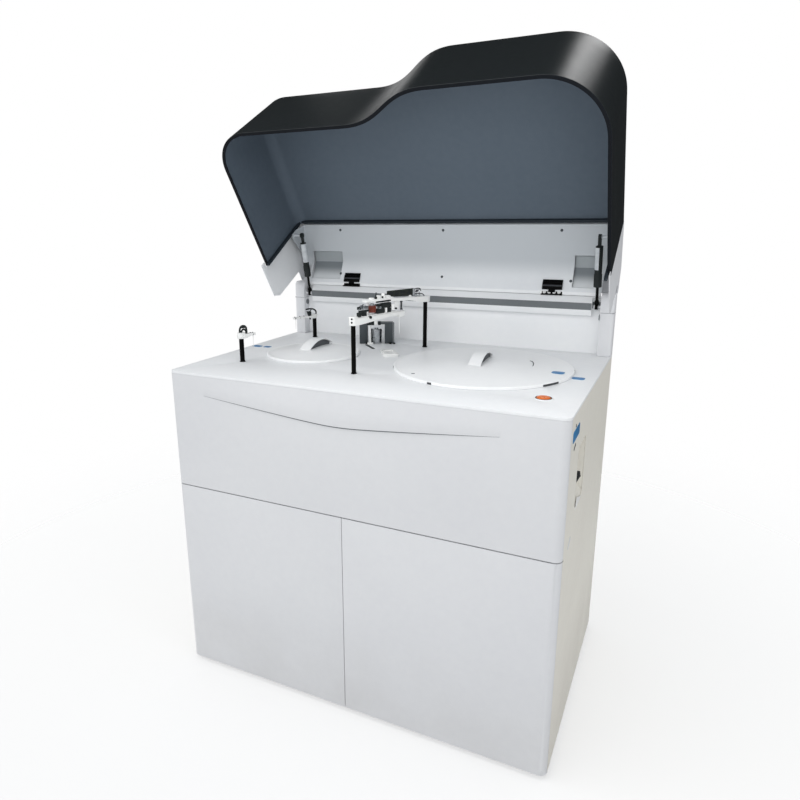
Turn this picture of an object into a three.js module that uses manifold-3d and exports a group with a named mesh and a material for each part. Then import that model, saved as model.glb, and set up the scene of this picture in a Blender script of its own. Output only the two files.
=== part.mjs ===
// Floor-standing clinical chemistry analyzer: a two-door cabinet, a flat work deck with two round
// tubs and four swinging arms, and a wavy hood that lifts on two hinges and two gas struts.
// Units are millimetres. +X is the viewer's right, +Y the back, +Z up. The hood stands open.
import * as THREE from 'three';
import { mergeVertices } from 'three/addons/utils/BufferGeometryUtils.js';
import Module from 'manifold-3d';

const wasm = await Module();
wasm.setup();

// Cabinet sizes
const cabinetWidth = 1050;
const cabinetDepth = 682;
const deckHeight = 895;
const deckThickness = 6;
const skirtClearance = 12;
const doorLift = 2;
const doorSeamHeight = 570;
const doorSeamGap = 3;
const doorSplitX = -5.7;
const doorSplitGap = 2;
const frontCornerRadius = 18;
const frontReturnDepth = 20;
const sheet = 1.5;

// Clearances
const seat = 0.3;
const seam = 1;
const overrun = 5;
const weldDistance = 0.0005;

// Base pan, feet and shelf
const panFloorHeight = 30;
const panWallHeight = 40;
const panThickness = 3;
const panFront = 24;
const footPadRadius = 22;
const footPadHeight = 9;
const footStemRadius = 6;
const footInsetX = 70;
const footInsetY = 60;
const shelfLift = 3.5;
const shelfThickness = 4;
const partitionThickness = 2;
const stopFlangeWidth = 42;
const flangeDepth = 18;

// Door pivots
const doorPivotInsetX = 5.5;
const doorPivotY = 26.5;
const doorPinRadius = 2.5;
const doorPinClearance = 0.3;
const doorTabRadius = 3.5;
const doorTabThickness = 3;
const doorTabReach = 24;
const doorPinTipGap = 0.6;
const doorReturnTrim = 0.7;
const tabNotchGap = 1;
const tabNotchBehind = 2;

// Front panel brow, a shallow smile-shaped step
const browLowShare = -0.0286;
const browSpanShare = 0.762;
const browDrop = 89;
const browTopGap = 11;
const browStep = 4;
const browBend = 60;
const browSlopeShare = 0.09;

// Tubs, disks and covers in the deck
const rightTub = {
  xShare: 0.44,
  yShare: 0.5381,
  coverRadius: 237,
  domeRadius: 80,
  handleShift: { x: -12, y: 28 },
  handleDegrees: 3,
};
const leftTub = {
  xShare: -0.5295,
  yShare: 0.5073,
  coverRadius: 138,
  domeRadius: 66,
  handleShift: { x: -18, y: 46 },
  handleDegrees: 3,
};
const coverOverlap = 15;
const tubLedge = 7;
const tubWall = 3;
const tubDepth = 88;
const tubFlange = 9;
const coverThickness = 8;
const coverRim = 3;
const coverRimWidth = 7;
const diskClearance = 8;
const diskThickness = 5;
const diskLift = 12;
const rackHeight = 46;
const rackWidth = 44;
const spindleRadius = 8;
const hubRadius = 20;
const motorRadius = 34;
const motorHeight = 60;
const motorWall = 4;
const handleLength = 148;
const handleWidth = 34;
const handleRise = 20;
const handleThickness = 3;
const handleFootLength = 10;
const handleFootDepth = 5;
const domeRise = 6;
const domeSlope = 5;

// Side recess with its rocker switch
const recessFront = 135;
const recessLength = 110;
const recessHeightShares = [0.2154, 0.6769];
const recessDepth = 22;
const recessWall = 2;
const recessCornerRadius = 16;
const recessSill = 32;
const rockerAlongShare = 0.3;
const rockerUpShare = 0.5067;
const rockerWidth = 22;
const rockerLength = 34;
const rockerThickness = 9;
const rockerDish = 2;
const rockerRestDegrees = 7;
const rockerPinRadius = 1.5;
const rockerPinDepth = 6;
const rockerHoleGap = 1.6;
const cheekThickness = 2.4;
const cheekHeight = 14;
const cheekDepth = 9;

// Start button on the deck
const buttonInsetX = 83;
const buttonInsetY = 132;
const buttonRadius = 17;
const buttonProud = 4;
const buttonTravel = 2.5;
const buttonStemRadius = 6;
const buttonFlatShare = 0.7;
const bezelWidth = 3;
const bezelProud = 1.5;
const bezelDepth = 12;

// Rear housing
const uprightWidth = 38;
const uprightDepth = 42;
const uprightHeight = 178;
const uprightShoulderDrop = 30;
const uprightShoulderDepth = 16;
const uprightBulgeDepthShare = 0.35;
const uprightBulgeDropShare = 0.3;
const uprightCornerRadius = 10;
const rearHollow = 12;
const rearWallThickness = 3;
const ledgeHeight = 166;
const ledgeThickness = 3;
const ledgeStrutGap = 12;
const ledgeNoseDepth = 20;
const ledgeSlopeDepth = 14;
const ledgeFootDepth = 5;
const ledgeSlopeDrop = 19;
const ledgeEdge = 4;
const ledgeNoseDrop = 54;

// Lid hinge and opening
const hingeInset = 10;
const hingeRise = 5;
const lidOpenDegrees = 57.6;
const lidCloseDegrees = 3.2;
const hingePlaceShares = [-0.602, 0.657];
const hingeWidth = 58;
const hingeBarrelRadius = 4.7;
const hingePinRadius = 2;
const hingePinClearance = 0.3;
const hingeLeafThickness = 2.5;
const hingeLeafLength = 34;
const hingeLeafDepth = 9;
const hingeLinkDrop = 4;
const hingeLinkReach = 8;
const hingeLinkTop = 1;

// Lid frame, in the lid's own frame: forward and down from the hinge, with the lid shut level
const hoodRear = 166;
const hoodRimDown = 127;
const hoodTopUp = 124;
const hoodWall = 5;
const hoodEdgeRound = 8;
const frameHeadInset = 6;
const frameHeadDrop = 12;
const frameFoot = { forward: 7, down: 0 };
const frameFold = { forward: 51, down: -62 };
const frameHead = { forward: hoodRear - frameHeadInset, down: frameHeadDrop - hoodTopUp };
const skinTopLength = 16;
const skinFoot = { forward: -6, down: -16 };
const skinHeel = { forward: skinFoot.forward, down: -30 };
const skinFold = { forward: 36, down: -86 };
const skinCrown = { forward: hoodRear - skinTopLength, down: -hoodTopUp };
const wingInset = 20;
const wingTip = { forward: 176, down: -60 };
const wingToe = { forward: 176, down: -30 };
const wingHeel = { forward: 158, down: -28 };
const notchPlaceShares = [[-0.905, -0.69], [0.762, 0.878]];
const notchLow = 14;
const notchHigh = 80;
const linerFootGap = 3;
const linerFootReach = 40;
const sideHoodGap = 2;
const sideTabReach = 18;
const sideTabGap = 3;
const sideTabHeight = 20;
const sideHeelForward = 61;
const sideHeelRise = 28;
const sideRearGap = 1.7;
const sideShoulderDown = -18;

// Hood shell, with the same forward and down
const edgeBulgeShare = 0.3;
const hoodRim = { leftFront: 606, rightFront: 681, leftCorner: 108, rightCorner: 150 };
const hoodCrown = { leftFront: 592, rightFront: 676, leftCorner: 112, rightCorner: 150 };
const waveSpanShares = [-0.2133, 0.2248];
const wavePullShare = 0.5;
const trimDepth = 9;
const trimThickness = 8.5;
const trimExtraDrop = 23;

// Gas struts
const strutInset = 51;
const strutFootInset = 12;
const strutFootDrop = 33;
const strutHead = { forward: hoodRear, down: -42 };
const strutRodRadius = 4;
const strutTubeRadius = 10;
const strutSleeveRadius = 11;
const strutSleeveLength = 36;
const strutBoreGap = 0.4;
const strutEyeRadius = 8;
const strutEyeWidth = 8;
const strutStudRadius = 4;
const strutStudGap = 0.4;
const strutStudCap = 6;
const strutStudCapWidth = 3;
const strutRodShow = 60;
const strutRodBuried = 80;
const strutBoreDepth = 112;
const strutNeckRadius = 5;
const strutNeckLength = 25;
const strutFlareLength = 14;
const strutFlareRadius = 6.5;

// Arms: a lifting column in the deck and a head that swings on it
const columnDrop = 150;
const columnClearance = 0.3;
const needleRadius = 1.6;
const frontLeftArm = {
  name: 'front_left',
  xShare: -0.7771,
  yShare: 0.2507,
  columnRadius: 6.7,
  columnHeight: 66,
  beamHeight: 13,
  beamLength: 38,
  endHeight: 7,
  archLength: 28,
  rootRadius: 11,
  tipRadius: 5,
  degrees: 59,
  needleDrop: 40,
  needleShare: 0.94,
  boxHeight: 4,
  boxSpanShares: [-0.18, 0.25],
  boxWidth: 14,
};
const rearLeftArm = {
  name: 'rear_left',
  xShare: -0.7952,
  yShare: 0.8632,
  columnRadius: 6.6,
  columnHeight: 64,
  beamHeight: 10,
  beamLength: 80,
  endHeight: 6,
  archLength: 40,
  rootRadius: 9,
  tipRadius: 5,
  degrees: 245,
  needleDrop: 30,
  needleShare: 0.94,
  boxHeight: 7,
  boxSpanShares: [-0.08, 0.12],
  boxWidth: 12,
};
const frontCentreArm = {
  name: 'front_centre',
  xShare: -0.0989,
  yShare: 0.2474,
  columnRadius: 6.1,
  columnHeight: 126,
  beamHeight: 18,
  beamLength: 183,
  endHeight: 9,
  archLength: 120,
  rootRadius: 11,
  tipRadius: 9,
  degrees: 71,
  needleDrop: 45,
  needleShare: 0.95,
  boxHeight: 30,
  boxSpanShares: [0.2, 0.78],
  boxWidth: 17,
};
const rearCentreArm = {
  name: 'rear_centre',
  xShare: -0.024,
  yShare: 0.8377,
  columnRadius: 6.2,
  columnHeight: 141,
  beamHeight: 17,
  beamLength: 160,
  endHeight: 9,
  archLength: 60,
  rootRadius: 14,
  tipRadius: 11,
  degrees: 227,
  needleDrop: 24,
  needleShare: 0.5,
  boxHeight: 22,
  boxSpanShares: [0.26, 0.72],
  boxWidth: 8,
};
const arms = [frontLeftArm, rearLeftArm, frontCentreArm, rearCentreArm];

// Mixing and washing station at the back of the deck
const stationAcrossShare = -0.3429;
const stationBackShare = 0.8416;
const stationDegrees = 24;
const stationHeight = 67;
const stationPlate = { width: 26, depth: 34 };
const stationSpan = 106;
const stationTopThickness = 5;
const stationMotorRadius = 18;
const stationMotorHeight = 46;

// Inside the cabinet
const tankWidth = 180;
const tankDepth = 230;
const tankHeight = 300;
const tankNeckRadius = 24;
const tankNeckHeight = 26;
const tankAcrossShares = [-0.7238, -0.2857];
const tankBackShare = 0.7038;
const powerWidth = 220;
const powerDepth = 200;
const powerHeight = 140;
const powerAcrossShare = 0.6667;
const powerBackShare = 0.7625;
const pumpWidth = 110;
const pumpDepth = 120;
const pumpHeight = 90;
const pumpAcrossShare = 0.2286;
const pumpBackShare = 0.7625;
const pumpHeadRadius = 30;
const pumpHeadLength = 36;

// Rear panel
const louvreCount = 7;
const louvreLength = 160;
const louvreHeight = 6;
const louvrePitch = 16;
const louvreAcrossShares = [-0.495, 0.495];
const louvreStart = 330;
const inletAcrossShare = 0.6286;
const inletHeight = 130;
const inletWidth = 48;
const inletTall = 28;
const inletDepth = 30;
const inletLip = 4;
const inletMouth = 14;

// Facet counts
const fine = 48;
const medium = 24;
const coarse = 14;
const cornerSteps = 5;
const waveSteps = 10;
const browSteps = 18;

// Heights and places that follow from the sizes above
const halfWidth = cabinetWidth / 2;
const doorBottom = skirtClearance + doorLift;
const partitionX = doorSplitX;
const browLowX = halfWidth * browLowShare;
const browHalfSpan = halfWidth * browSpanShare;
const browLowHeight = deckHeight - browDrop;
const browTopHeight = deckHeight - browTopGap;
const placeOf = ({ xShare, yShare }) => ({ x: halfWidth * xShare, y: cabinetDepth * yShare });
const recessBack = recessFront + recessLength;
const [recessBottom, recessTop] = recessHeightShares
  .map((share) => doorSeamHeight + (deckHeight - doorSeamHeight) * share);
const rockerY = recessFront + recessLength * rockerAlongShare;
const rockerHeight = recessBottom + (recessTop - recessBottom) * rockerUpShare;
const buttonX = halfWidth - buttonInsetX;
const buttonY = buttonInsetY;
const uprightFront = cabinetDepth - uprightDepth;
const uprightTop = deckHeight + uprightHeight;
const uprightShoulder = uprightTop - uprightShoulderDrop;
const rearWallY = cabinetDepth - rearHollow;
const ledgeTop = deckHeight + ledgeHeight;
const ledgeFrontY = rearWallY - ledgeNoseDepth;
const ledgeBackSlopeY = ledgeFrontY + ledgeSlopeDepth;
const ledgeLipTop = ledgeTop - ledgeSlopeDrop;
const ledgeLipEdge = ledgeLipTop - ledgeEdge;
const ledgeBottom = ledgeTop - ledgeNoseDrop;
const ledgeBottomY = ledgeFrontY + ledgeFootDepth;
const hingeY = cabinetDepth - hingeInset;
const hingeHeight = ledgeTop + hingeRise;
const hingePlacesX = hingePlaceShares.map((share) => halfWidth * share);
const notchPlacesX = notchPlaceShares.map((pair) => pair.map((share) => halfWidth * share));
const linerFootHalf = halfWidth - uprightWidth - linerFootGap;
const strutX = halfWidth - strutInset;
const strutFootY = hingeY - strutFootInset;
const strutFootHeight = hingeHeight - strutFootDrop;
const ledgeHalf = strutX - ledgeStrutGap;
const [waveStartX, waveEndX] = waveSpanShares.map((share) => halfWidth * share);
const stationX = halfWidth * stationAcrossShare;
const stationY = cabinetDepth * stationBackShare;
const innerHalf = halfWidth - sheet;
const linedHalf = innerHalf - seat;
const deckUnderside = deckHeight - deckThickness;
const doorTop = doorSeamHeight - doorSeamGap / 2;
const frontPanelBottom = doorSeamHeight + doorSeamGap / 2;
const shelfBottom = doorTop + shelfLift;
const shelfTop = shelfBottom + shelfThickness;
const rearInner = cabinetDepth - sheet;
const rearLined = rearInner - seat;
const sideFront = frontReturnDepth + seam;
const doorPivotX = halfWidth - doorPivotInsetX;
const panFloorTop = panFloorHeight + panThickness;

// Named colours and finishes
const finish = (colour, roughness, metalness = 0) => new THREE.MeshStandardMaterial({
  color: colour,
  roughness,
  metalness,
});
const whitePaint = finish(0xd9dbdd, 0.45);
const warmPaint = finish(0xc9c6bf, 0.5);
const deckPaint = finish(0xe3e5e8, 0.4);
const linerPaint = finish(0xcdd2d6, 0.5);
const hoodPlastic = finish(0x22292c, 0.22);
const trimRubber = finish(0x1a2026, 0.7);
const blackAnodised = finish(0x0c0d0f, 0.4, 0.5);
const blackPlastic = finish(0x17191b, 0.5);
const armPaint = finish(0xeceded, 0.35);
const brightSteel = finish(0xa9adb0, 0.3, 0.9);
const greySteel = finish(0x55595e, 0.45, 0.7);
const tubPlastic = finish(0x3b4146, 0.5);
const diskPlastic = finish(0x2c5a78, 0.45);
const tankPlastic = finish(0xd6dde0, 0.4);
const buttonPlastic = finish(0xd9661f, 0.3);
const panSteel = finish(0x9a9ea3, 0.5, 0.6);

// A closed geometry as a solid that can be cut and joined
function solid(geometry) {
  const bare = geometry.clone();
  bare.deleteAttribute('normal');
  bare.deleteAttribute('uv');
  const merged = mergeVertices(bare, weldDistance);
  const corners = merged.index.array;
  const kept = [];
  for (let i = 0; i < corners.length; i += 3) {
    const [a, b, c] = corners.slice(i, i + 3);
    if (a !== b && b !== c && c !== a) kept.push(a, b, c);
  }
  return new wasm.Manifold(new wasm.Mesh({
    numProp: 3,
    vertProperties: Float32Array.from(merged.attributes.position.array),
    triVerts: Uint32Array.from(kept),
  }));
}

// A solid as a geometry for a mesh
function geometryOf(body) {
  const { vertProperties, triVerts } = body.getMesh();
  const geometry = new THREE.BufferGeometry();
  geometry.setAttribute('position', new THREE.BufferAttribute(Float32Array.from(vertProperties), 3));
  geometry.setIndex(new THREE.BufferAttribute(Uint32Array.from(triVerts), 1));
  geometry.computeVertexNormals();
  return geometry;
}

// A named piece of the assembly
function piece(name, body, material) {
  const mesh = new THREE.Mesh(geometryOf(body), material);
  mesh.name = name;
  return mesh;
}

const middle = ([low, high]) => (low + high) / 2;

function block(x, y, z) {
  const geometry = new THREE.BoxGeometry(x[1] - x[0], y[1] - y[0], z[1] - z[0]);
  geometry.translate(middle(x), middle(y), middle(z));
  return solid(geometry);
}

const pointsOf = (pairs) => pairs.map(([u, v]) => new THREE.Vector2(u, v));

// A flat outline in X and Y, raised from one height to another
function plate(outline, [low, high]) {
  const shape = new THREE.Shape(pointsOf(outline));
  const geometry = new THREE.ExtrudeGeometry(shape, { depth: high - low, bevelEnabled: false });
  geometry.translate(0, 0, low);
  return solid(geometry);
}

// An outline in Y and Z, run along X
function barAlongX(outline, [low, high]) {
  const shape = new THREE.Shape(pointsOf(outline));
  const geometry = new THREE.ExtrudeGeometry(shape, { depth: high - low, bevelEnabled: false });
  const axes = new THREE.Matrix4().makeBasis(
    new THREE.Vector3(0, 1, 0),
    new THREE.Vector3(0, 0, 1),
    new THREE.Vector3(1, 0, 0),
  );
  geometry.applyMatrix4(axes);
  geometry.translate(low, 0, 0);
  return solid(geometry);
}

// An outline in X and Z, run along Y
function barAlongY(outline, [low, high]) {
  const shape = new THREE.Shape(pointsOf(outline));
  const geometry = new THREE.ExtrudeGeometry(shape, { depth: high - low, bevelEnabled: false });
  const axes = new THREE.Matrix4().makeBasis(
    new THREE.Vector3(1, 0, 0),
    new THREE.Vector3(0, 0, 1),
    new THREE.Vector3(0, -1, 0),
  );
  geometry.applyMatrix4(axes);
  geometry.translate(0, high, 0);
  return solid(geometry);
}

function roundBar(radius, [low, high], sides, x = 0, y = 0) {
  const geometry = new THREE.CylinderGeometry(radius, radius, high - low, sides);
  geometry.rotateX(Math.PI / 2);
  geometry.translate(x, y, (low + high) / 2);
  return solid(geometry);
}

function roundBarAlongX(radius, [low, high], sides, y = 0, z = 0) {
  const geometry = new THREE.CylinderGeometry(radius, radius, high - low, sides);
  geometry.rotateZ(Math.PI / 2);
  geometry.translate((low + high) / 2, y, z);
  return solid(geometry);
}

function roundBarAlongY(radius, [low, high], sides, x = 0, z = 0) {
  const geometry = new THREE.CylinderGeometry(radius, radius, high - low, sides);
  geometry.translate(x, (low + high) / 2, z);
  return solid(geometry);
}

// A turned piece: radius and height pairs, from the bottom on the axis to the top on the axis
function turned(profile, sides, x = 0, y = 0) {
  const geometry = new THREE.LatheGeometry(pointsOf(profile), sides);
  geometry.rotateX(Math.PI / 2);
  geometry.translate(x, y, 0);
  return solid(geometry);
}

const join = (first, ...others) => others.reduce((whole, other) => whole.add(other), first);
const cut = (first, ...others) => others.reduce((whole, other) => whole.subtract(other), first);

// Points on a quarter arc, from one angle to another
function arcPoints(x, y, radius, start, end, steps) {
  return Array.from({ length: steps + 1 }, (_, i) => {
    const angle = start + (end - start) * i / steps;
    return [x + radius * Math.cos(angle), y + radius * Math.sin(angle)];
  });
}

// The cabinet's plan outline with rounded front corners, drawn in by an inset
function cabinetPlan(inset, back) {
  const half = halfWidth - inset;
  const radius = frontCornerRadius - inset;
  const centre = halfWidth - frontCornerRadius;
  return [
    [-half, back],
    ...arcPoints(-centre, frontCornerRadius, radius, Math.PI, Math.PI * 1.5, cornerSteps),
    ...arcPoints(centre, frontCornerRadius, radius, Math.PI * 1.5, Math.PI * 2, cornerSteps),
    [half, back],
  ];
}

// A rectangle with rounded corners
function roundedRectangle([left, right], [low, high], radius) {
  return [
    ...arcPoints(right - radius, high - radius, radius, 0, Math.PI / 2, cornerSteps),
    ...arcPoints(left + radius, high - radius, radius, Math.PI / 2, Math.PI, cornerSteps),
    ...arcPoints(left + radius, low + radius, radius, Math.PI, Math.PI * 1.5, cornerSteps),
    ...arcPoints(right - radius, low + radius, radius, Math.PI * 1.5, Math.PI * 2, cornerSteps),
  ];
}

// A shell through stacked outlines with the same number of points, lowest first
function loft(levels) {
  const count = levels[0].outline.length;
  const corners = levels.flatMap(({ outline, z }) => outline.map(([x, y]) => [x, y, z]));
  const faces = [];
  for (let level = 0; level + 1 < levels.length; level += 1) {
    for (let i = 0; i < count; i += 1) {
      const next = (i + 1) % count;
      const [a, b] = [level * count + i, level * count + next];
      faces.push(a, b, b + count, a, b + count, a + count);
    }
  }
  const bottom = THREE.ShapeUtils.triangulateShape(pointsOf(levels[0].outline), []);
  const top = THREE.ShapeUtils.triangulateShape(pointsOf(levels.at(-1).outline), []);
  const topStart = (levels.length - 1) * count;
  bottom.forEach(([a, b, c]) => faces.push(a, c, b));
  top.forEach(([a, b, c]) => faces.push(topStart + a, topStart + b, topStart + c));
  const geometry = new THREE.BufferGeometry();
  geometry.setAttribute('position', new THREE.Float32BufferAttribute(corners.flat(), 3));
  geometry.setIndex(faces);
  return solid(geometry);
}

const analyzer = new THREE.Group();

// Base pan that carries the sides, the doors and what stands inside
function makeBasePan() {
  const panTop = panFloorHeight + panWallHeight;
  const outside = block([-linedHalf, linedHalf], [panFront, rearLined], [panFloorHeight, panTop]);
  const hollow = block(
    [-linedHalf + panThickness, linedHalf - panThickness],
    [-overrun, rearLined - panThickness],
    [panFloorTop, panTop + overrun],
  );
  const bores = [-1, 1].map((side) => roundBar(
    doorPinRadius + doorPinClearance,
    [panFloorHeight - overrun, panFloorTop + overrun],
    coarse,
    side * doorPivotX,
    doorPivotY,
  ));
  const corners = [-1, 1].map((side) => block(
    side < 0 ? [-halfWidth, -doorPivotX + doorTabRadius * 2] : [doorPivotX - doorTabRadius * 2, halfWidth],
    [0, doorPivotY + doorTabRadius * 2],
    [panFloorTop, panTop + overrun],
  ));
  return cut(outside, hollow, ...bores, ...corners);
}
analyzer.add(piece('base_pan', makeBasePan(), panSteel));

// Levelling feet under the pan
const footPlaces = [
  ['front_left', -1, footInsetY],
  ['front_right', 1, footInsetY],
  ['rear_left', -1, cabinetDepth - footInsetY],
  ['rear_right', 1, cabinetDepth - footInsetY],
];
for (const [corner, side, y] of footPlaces) {
  const x = side * (halfWidth - footInsetX);
  const foot = turned([
    [0, 0],
    [footPadRadius, 0],
    [footPadRadius, footPadHeight / 2],
    [footStemRadius, footPadHeight],
    [footStemRadius, panFloorHeight - seat],
    [0, panFloorHeight - seat],
  ], coarse, x, y);
  analyzer.add(piece(`levelling_foot_${corner}`, foot, blackPlastic));
}

// Side, rear and upper front panels
const sidePlan = (side) => (side < 0 ? [-halfWidth, -innerHalf] : [innerHalf, halfWidth]);
const panelHeights = [skirtClearance, deckUnderside - seat];
const lowTab = [panFloorHeight - doorTabThickness - 2 * seam, panFloorHeight - 2 * seam];
const highTab = [doorTop - doorTabThickness, doorTop];

// A side panel, notched at its front edge where the doors' pivot tabs swing through
function makeSidePanel(side) {
  const notches = [lowTab, highTab].map(([low, high]) => block(
    side < 0 ? [-halfWidth - overrun, -innerHalf + overrun] : [innerHalf - overrun, halfWidth + overrun],
    [sideFront - overrun, doorPivotY + doorTabRadius + tabNotchBehind],
    [low - tabNotchGap, high + tabNotchGap],
  ));
  return cut(block(sidePlan(side), [sideFront, cabinetDepth], panelHeights), ...notches);
}
analyzer.add(piece('side_panel_left', makeSidePanel(-1), warmPaint));

const recessMouth = barAlongX(
  roundedRectangle([recessFront, recessBack], [recessBottom, recessTop], recessCornerRadius),
  [innerHalf - overrun, halfWidth + overrun],
);
analyzer.add(piece('side_panel_right', cut(makeSidePanel(1), recessMouth), warmPaint));

const inletX = halfWidth * inletAcrossShare;

function makeRearPanel() {
  const panel = block([-linedHalf, linedHalf], [rearInner, cabinetDepth], panelHeights);
  const lowEdges = Array.from({ length: louvreCount }, (_, i) => louvreStart + i * louvrePitch);
  const slots = louvreAcrossShares.flatMap((share) => lowEdges.map((low) => block(
    [halfWidth * share - louvreLength / 2, halfWidth * share + louvreLength / 2],
    [rearInner - overrun, cabinetDepth + overrun],
    [low, low + louvreHeight],
  )));
  const inletHole = block(
    [inletX - inletWidth / 2, inletX + inletWidth / 2],
    [rearInner - overrun, cabinetDepth + overrun],
    [inletHeight - inletTall / 2, inletHeight + inletTall / 2],
  );
  return cut(panel, inletHole, ...slots);
}
analyzer.add(piece('rear_panel', makeRearPanel(), warmPaint));

function makePowerInlet() {
  const span = (size, grow) => [-size / 2 - grow, size / 2 + grow];
  const shift = ([low, high], by) => [low + by, high + by];
  const flange = block(
    shift(span(inletWidth, inletLip), inletX),
    [rearInner - panThickness, rearInner - seat],
    shift(span(inletTall, inletLip), inletHeight),
  );
  const plug = block(
    shift(span(inletWidth, -seat), inletX),
    [cabinetDepth - inletDepth, cabinetDepth],
    shift(span(inletTall, -seat), inletHeight),
  );
  const mouth = block(
    shift(span(inletWidth, -inletLip), inletX),
    [cabinetDepth - inletMouth, cabinetDepth + overrun],
    shift(span(inletTall, -inletLip), inletHeight),
  );
  return cut(join(flange, plug), mouth);
}
analyzer.add(piece('power_inlet', makePowerInlet(), blackPlastic));

// The step under the brow runs as two gentle slopes that meet in a bend
const browHeight = (x) => browLowHeight + browSlopeShare * (Math.hypot(x - browLowX, browBend) - browBend);
const browDepth = (x) => browStep * (1 - ((x - browLowX) / browHalfSpan) ** 2);

function makeBrow() {
  const browRoot = sheet / 4;
  const corners = [];
  for (let i = 0; i <= browSteps; i += 1) {
    const x = browLowX + browHalfSpan * (2 * i / browSteps - 1);
    corners.push(
      [x, sheet / 2, browHeight(x)],
      [x, browRoot - browDepth(x), browHeight(x)],
      [x, sheet / 2, browTopHeight],
    );
  }
  const faces = [];
  for (let i = 0; i < browSteps; i += 1) {
    for (let side = 0; side < 3; side += 1) {
      const a = i * 3 + side;
      const b = i * 3 + (side + 1) % 3;
      faces.push(a, b + 3, b, a, a + 3, b + 3);
    }
  }
  const last = browSteps * 3;
  faces.push(0, 1, 2, last, last + 2, last + 1);
  const geometry = new THREE.BufferGeometry();
  geometry.setAttribute('position', new THREE.Float32BufferAttribute(corners.flat(), 3));
  geometry.setIndex(faces);
  return solid(geometry);
}

function makeFrontPanel() {
  const heights = [frontPanelBottom, deckUnderside - seat];
  const taller = [frontPanelBottom - overrun, deckUnderside + overrun];
  const outside = plate(cabinetPlan(0, frontReturnDepth), heights);
  const inside = plate(cabinetPlan(sheet, frontReturnDepth + overrun), taller);
  return join(cut(outside, inside), makeBrow());
}
analyzer.add(piece('front_panel', makeFrontPanel(), whitePaint));

// Shelf between the cabinet and the mechanics, with the doors' upper bores
function makeShelf() {
  const bores = [-1, 1].map((side) => roundBar(
    doorPinRadius + doorPinClearance,
    [shelfBottom - overrun, shelfTop + overrun],
    coarse,
    side * doorPivotX,
    doorPivotY,
  ));
  return cut(plate(cabinetPlan(sheet + seat, rearLined), [shelfBottom, shelfTop]), ...bores);
}
analyzer.add(piece('mechanics_shelf', makeShelf(), panSteel));

// Centre partition with the flange that the doors close against
function makePartition() {
  const heights = [panFloorTop + seat, shelfBottom - seat];
  const flangeFront = flangeDepth + seat;
  const web = block(
    [partitionX - partitionThickness / 2, partitionX + partitionThickness / 2],
    [flangeFront, rearLined - panThickness - seat],
    heights,
  );
  const flange = block(
    [partitionX - stopFlangeWidth / 2, partitionX + stopFlangeWidth / 2],
    [flangeFront, flangeFront + partitionThickness],
    heights,
  );
  return join(web, flange);
}
analyzer.add(piece('centre_partition', makePartition(), panSteel));

// Doors: pressed trays with rounded outer corners and a pin at the top and the bottom
function makeDoor(side) {
  const edge = doorSplitX + side * doorSplitGap / 2;
  const keep = side < 0 ? [-halfWidth - overrun, edge] : [edge, halfWidth + overrun];
  const pocket = side < 0 ? [-halfWidth - overrun, edge - sheet] : [edge + sheet, halfWidth + overrun];
  const outer = plate(cabinetPlan(0, frontReturnDepth - doorReturnTrim), [doorBottom, doorTop]);
  const trimmed = outer.intersect(block(keep, [-overrun, frontReturnDepth + overrun], [0, deckHeight]));
  const hollowHeights = [doorBottom + sheet, doorTop - sheet];
  const hollow = plate(cabinetPlan(sheet, frontReturnDepth + overrun), hollowHeights)
    .intersect(block(pocket, [-overrun, frontReturnDepth + 2 * overrun], [0, deckHeight]));
  const backTrim = block(
    side < 0 ? [-innerHalf + sheet, edge + overrun] : [edge - overrun, innerHalf - sheet],
    [flangeDepth, frontReturnDepth + overrun],
    [0, deckHeight],
  );
  const x = side * doorPivotX;
  const tabEdge = side * (innerHalf + sheet / 2);
  const inner = x - side * doorTabReach;
  const tabFront = side < 0
    ? [[tabEdge + frontCornerRadius / 2, sheet / 2], [inner, sheet / 2]]
    : [[inner, sheet / 2], [tabEdge - frontCornerRadius / 2, sheet / 2]];
  const tabPlan = [...tabFront, [x + doorTabRadius, doorPivotY], [x - doorTabRadius, doorPivotY]];
  const tabs = [lowTab, highTab].flatMap((heights) => [
    plate(tabPlan, heights),
    roundBar(doorTabRadius, heights, coarse, x, doorPivotY),
  ]);
  const pins = [
    [lowTab[1] - sheet, panFloorTop - doorPinTipGap],
    [doorTop - sheet, shelfTop - doorPinTipGap],
  ].map((heights) => roundBar(doorPinRadius, heights, coarse, x, doorPivotY));
  return join(cut(trimmed, hollow, backTrim), ...tabs, ...pins);
}
analyzer.add(piece('door_left', makeDoor(-1), whitePaint));
analyzer.add(piece('door_right', makeDoor(1), whitePaint));

// Work deck with its tubs, column bores and button hole
function makeDeck() {
  const cover = plate(cabinetPlan(0, cabinetDepth), [deckUnderside, deckHeight]);
  const through = [deckUnderside - overrun, deckHeight + overrun];
  const wells = [rightTub, leftTub].map((tub) => {
    const { x, y } = placeOf(tub);
    return roundBar(tub.coverRadius - coverOverlap, through, fine, x, y);
  });
  const bores = arms.map((arm) => {
    const { x, y } = placeOf(arm);
    return roundBar(arm.columnRadius + columnClearance, through, medium, x, y);
  });
  const buttonHole = roundBar(buttonRadius + bezelWidth - seat, through, medium, buttonX, buttonY);
  return cut(cover, ...wells, ...bores, buttonHole);
}
analyzer.add(piece('deck_cover', makeDeck(), deckPaint));

// Tubs, turntables and their motors
function makeTub(tub) {
  const top = deckUnderside - seat;
  const floor = top - tubDepth;
  const bore = spindleRadius + seam;
  const outer = tub.coverRadius - coverOverlap - seat;
  const { x, y } = placeOf(tub);
  return turned([
    [bore, floor],
    [outer, floor],
    [outer, top - tubWall],
    [outer + tubFlange, top - tubWall],
    [outer + tubFlange, top],
    [outer - tubWall, top],
    [outer - tubWall, floor + tubWall],
    [bore, floor + tubWall],
    [bore, floor],
  ], fine, x, y);
}

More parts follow.
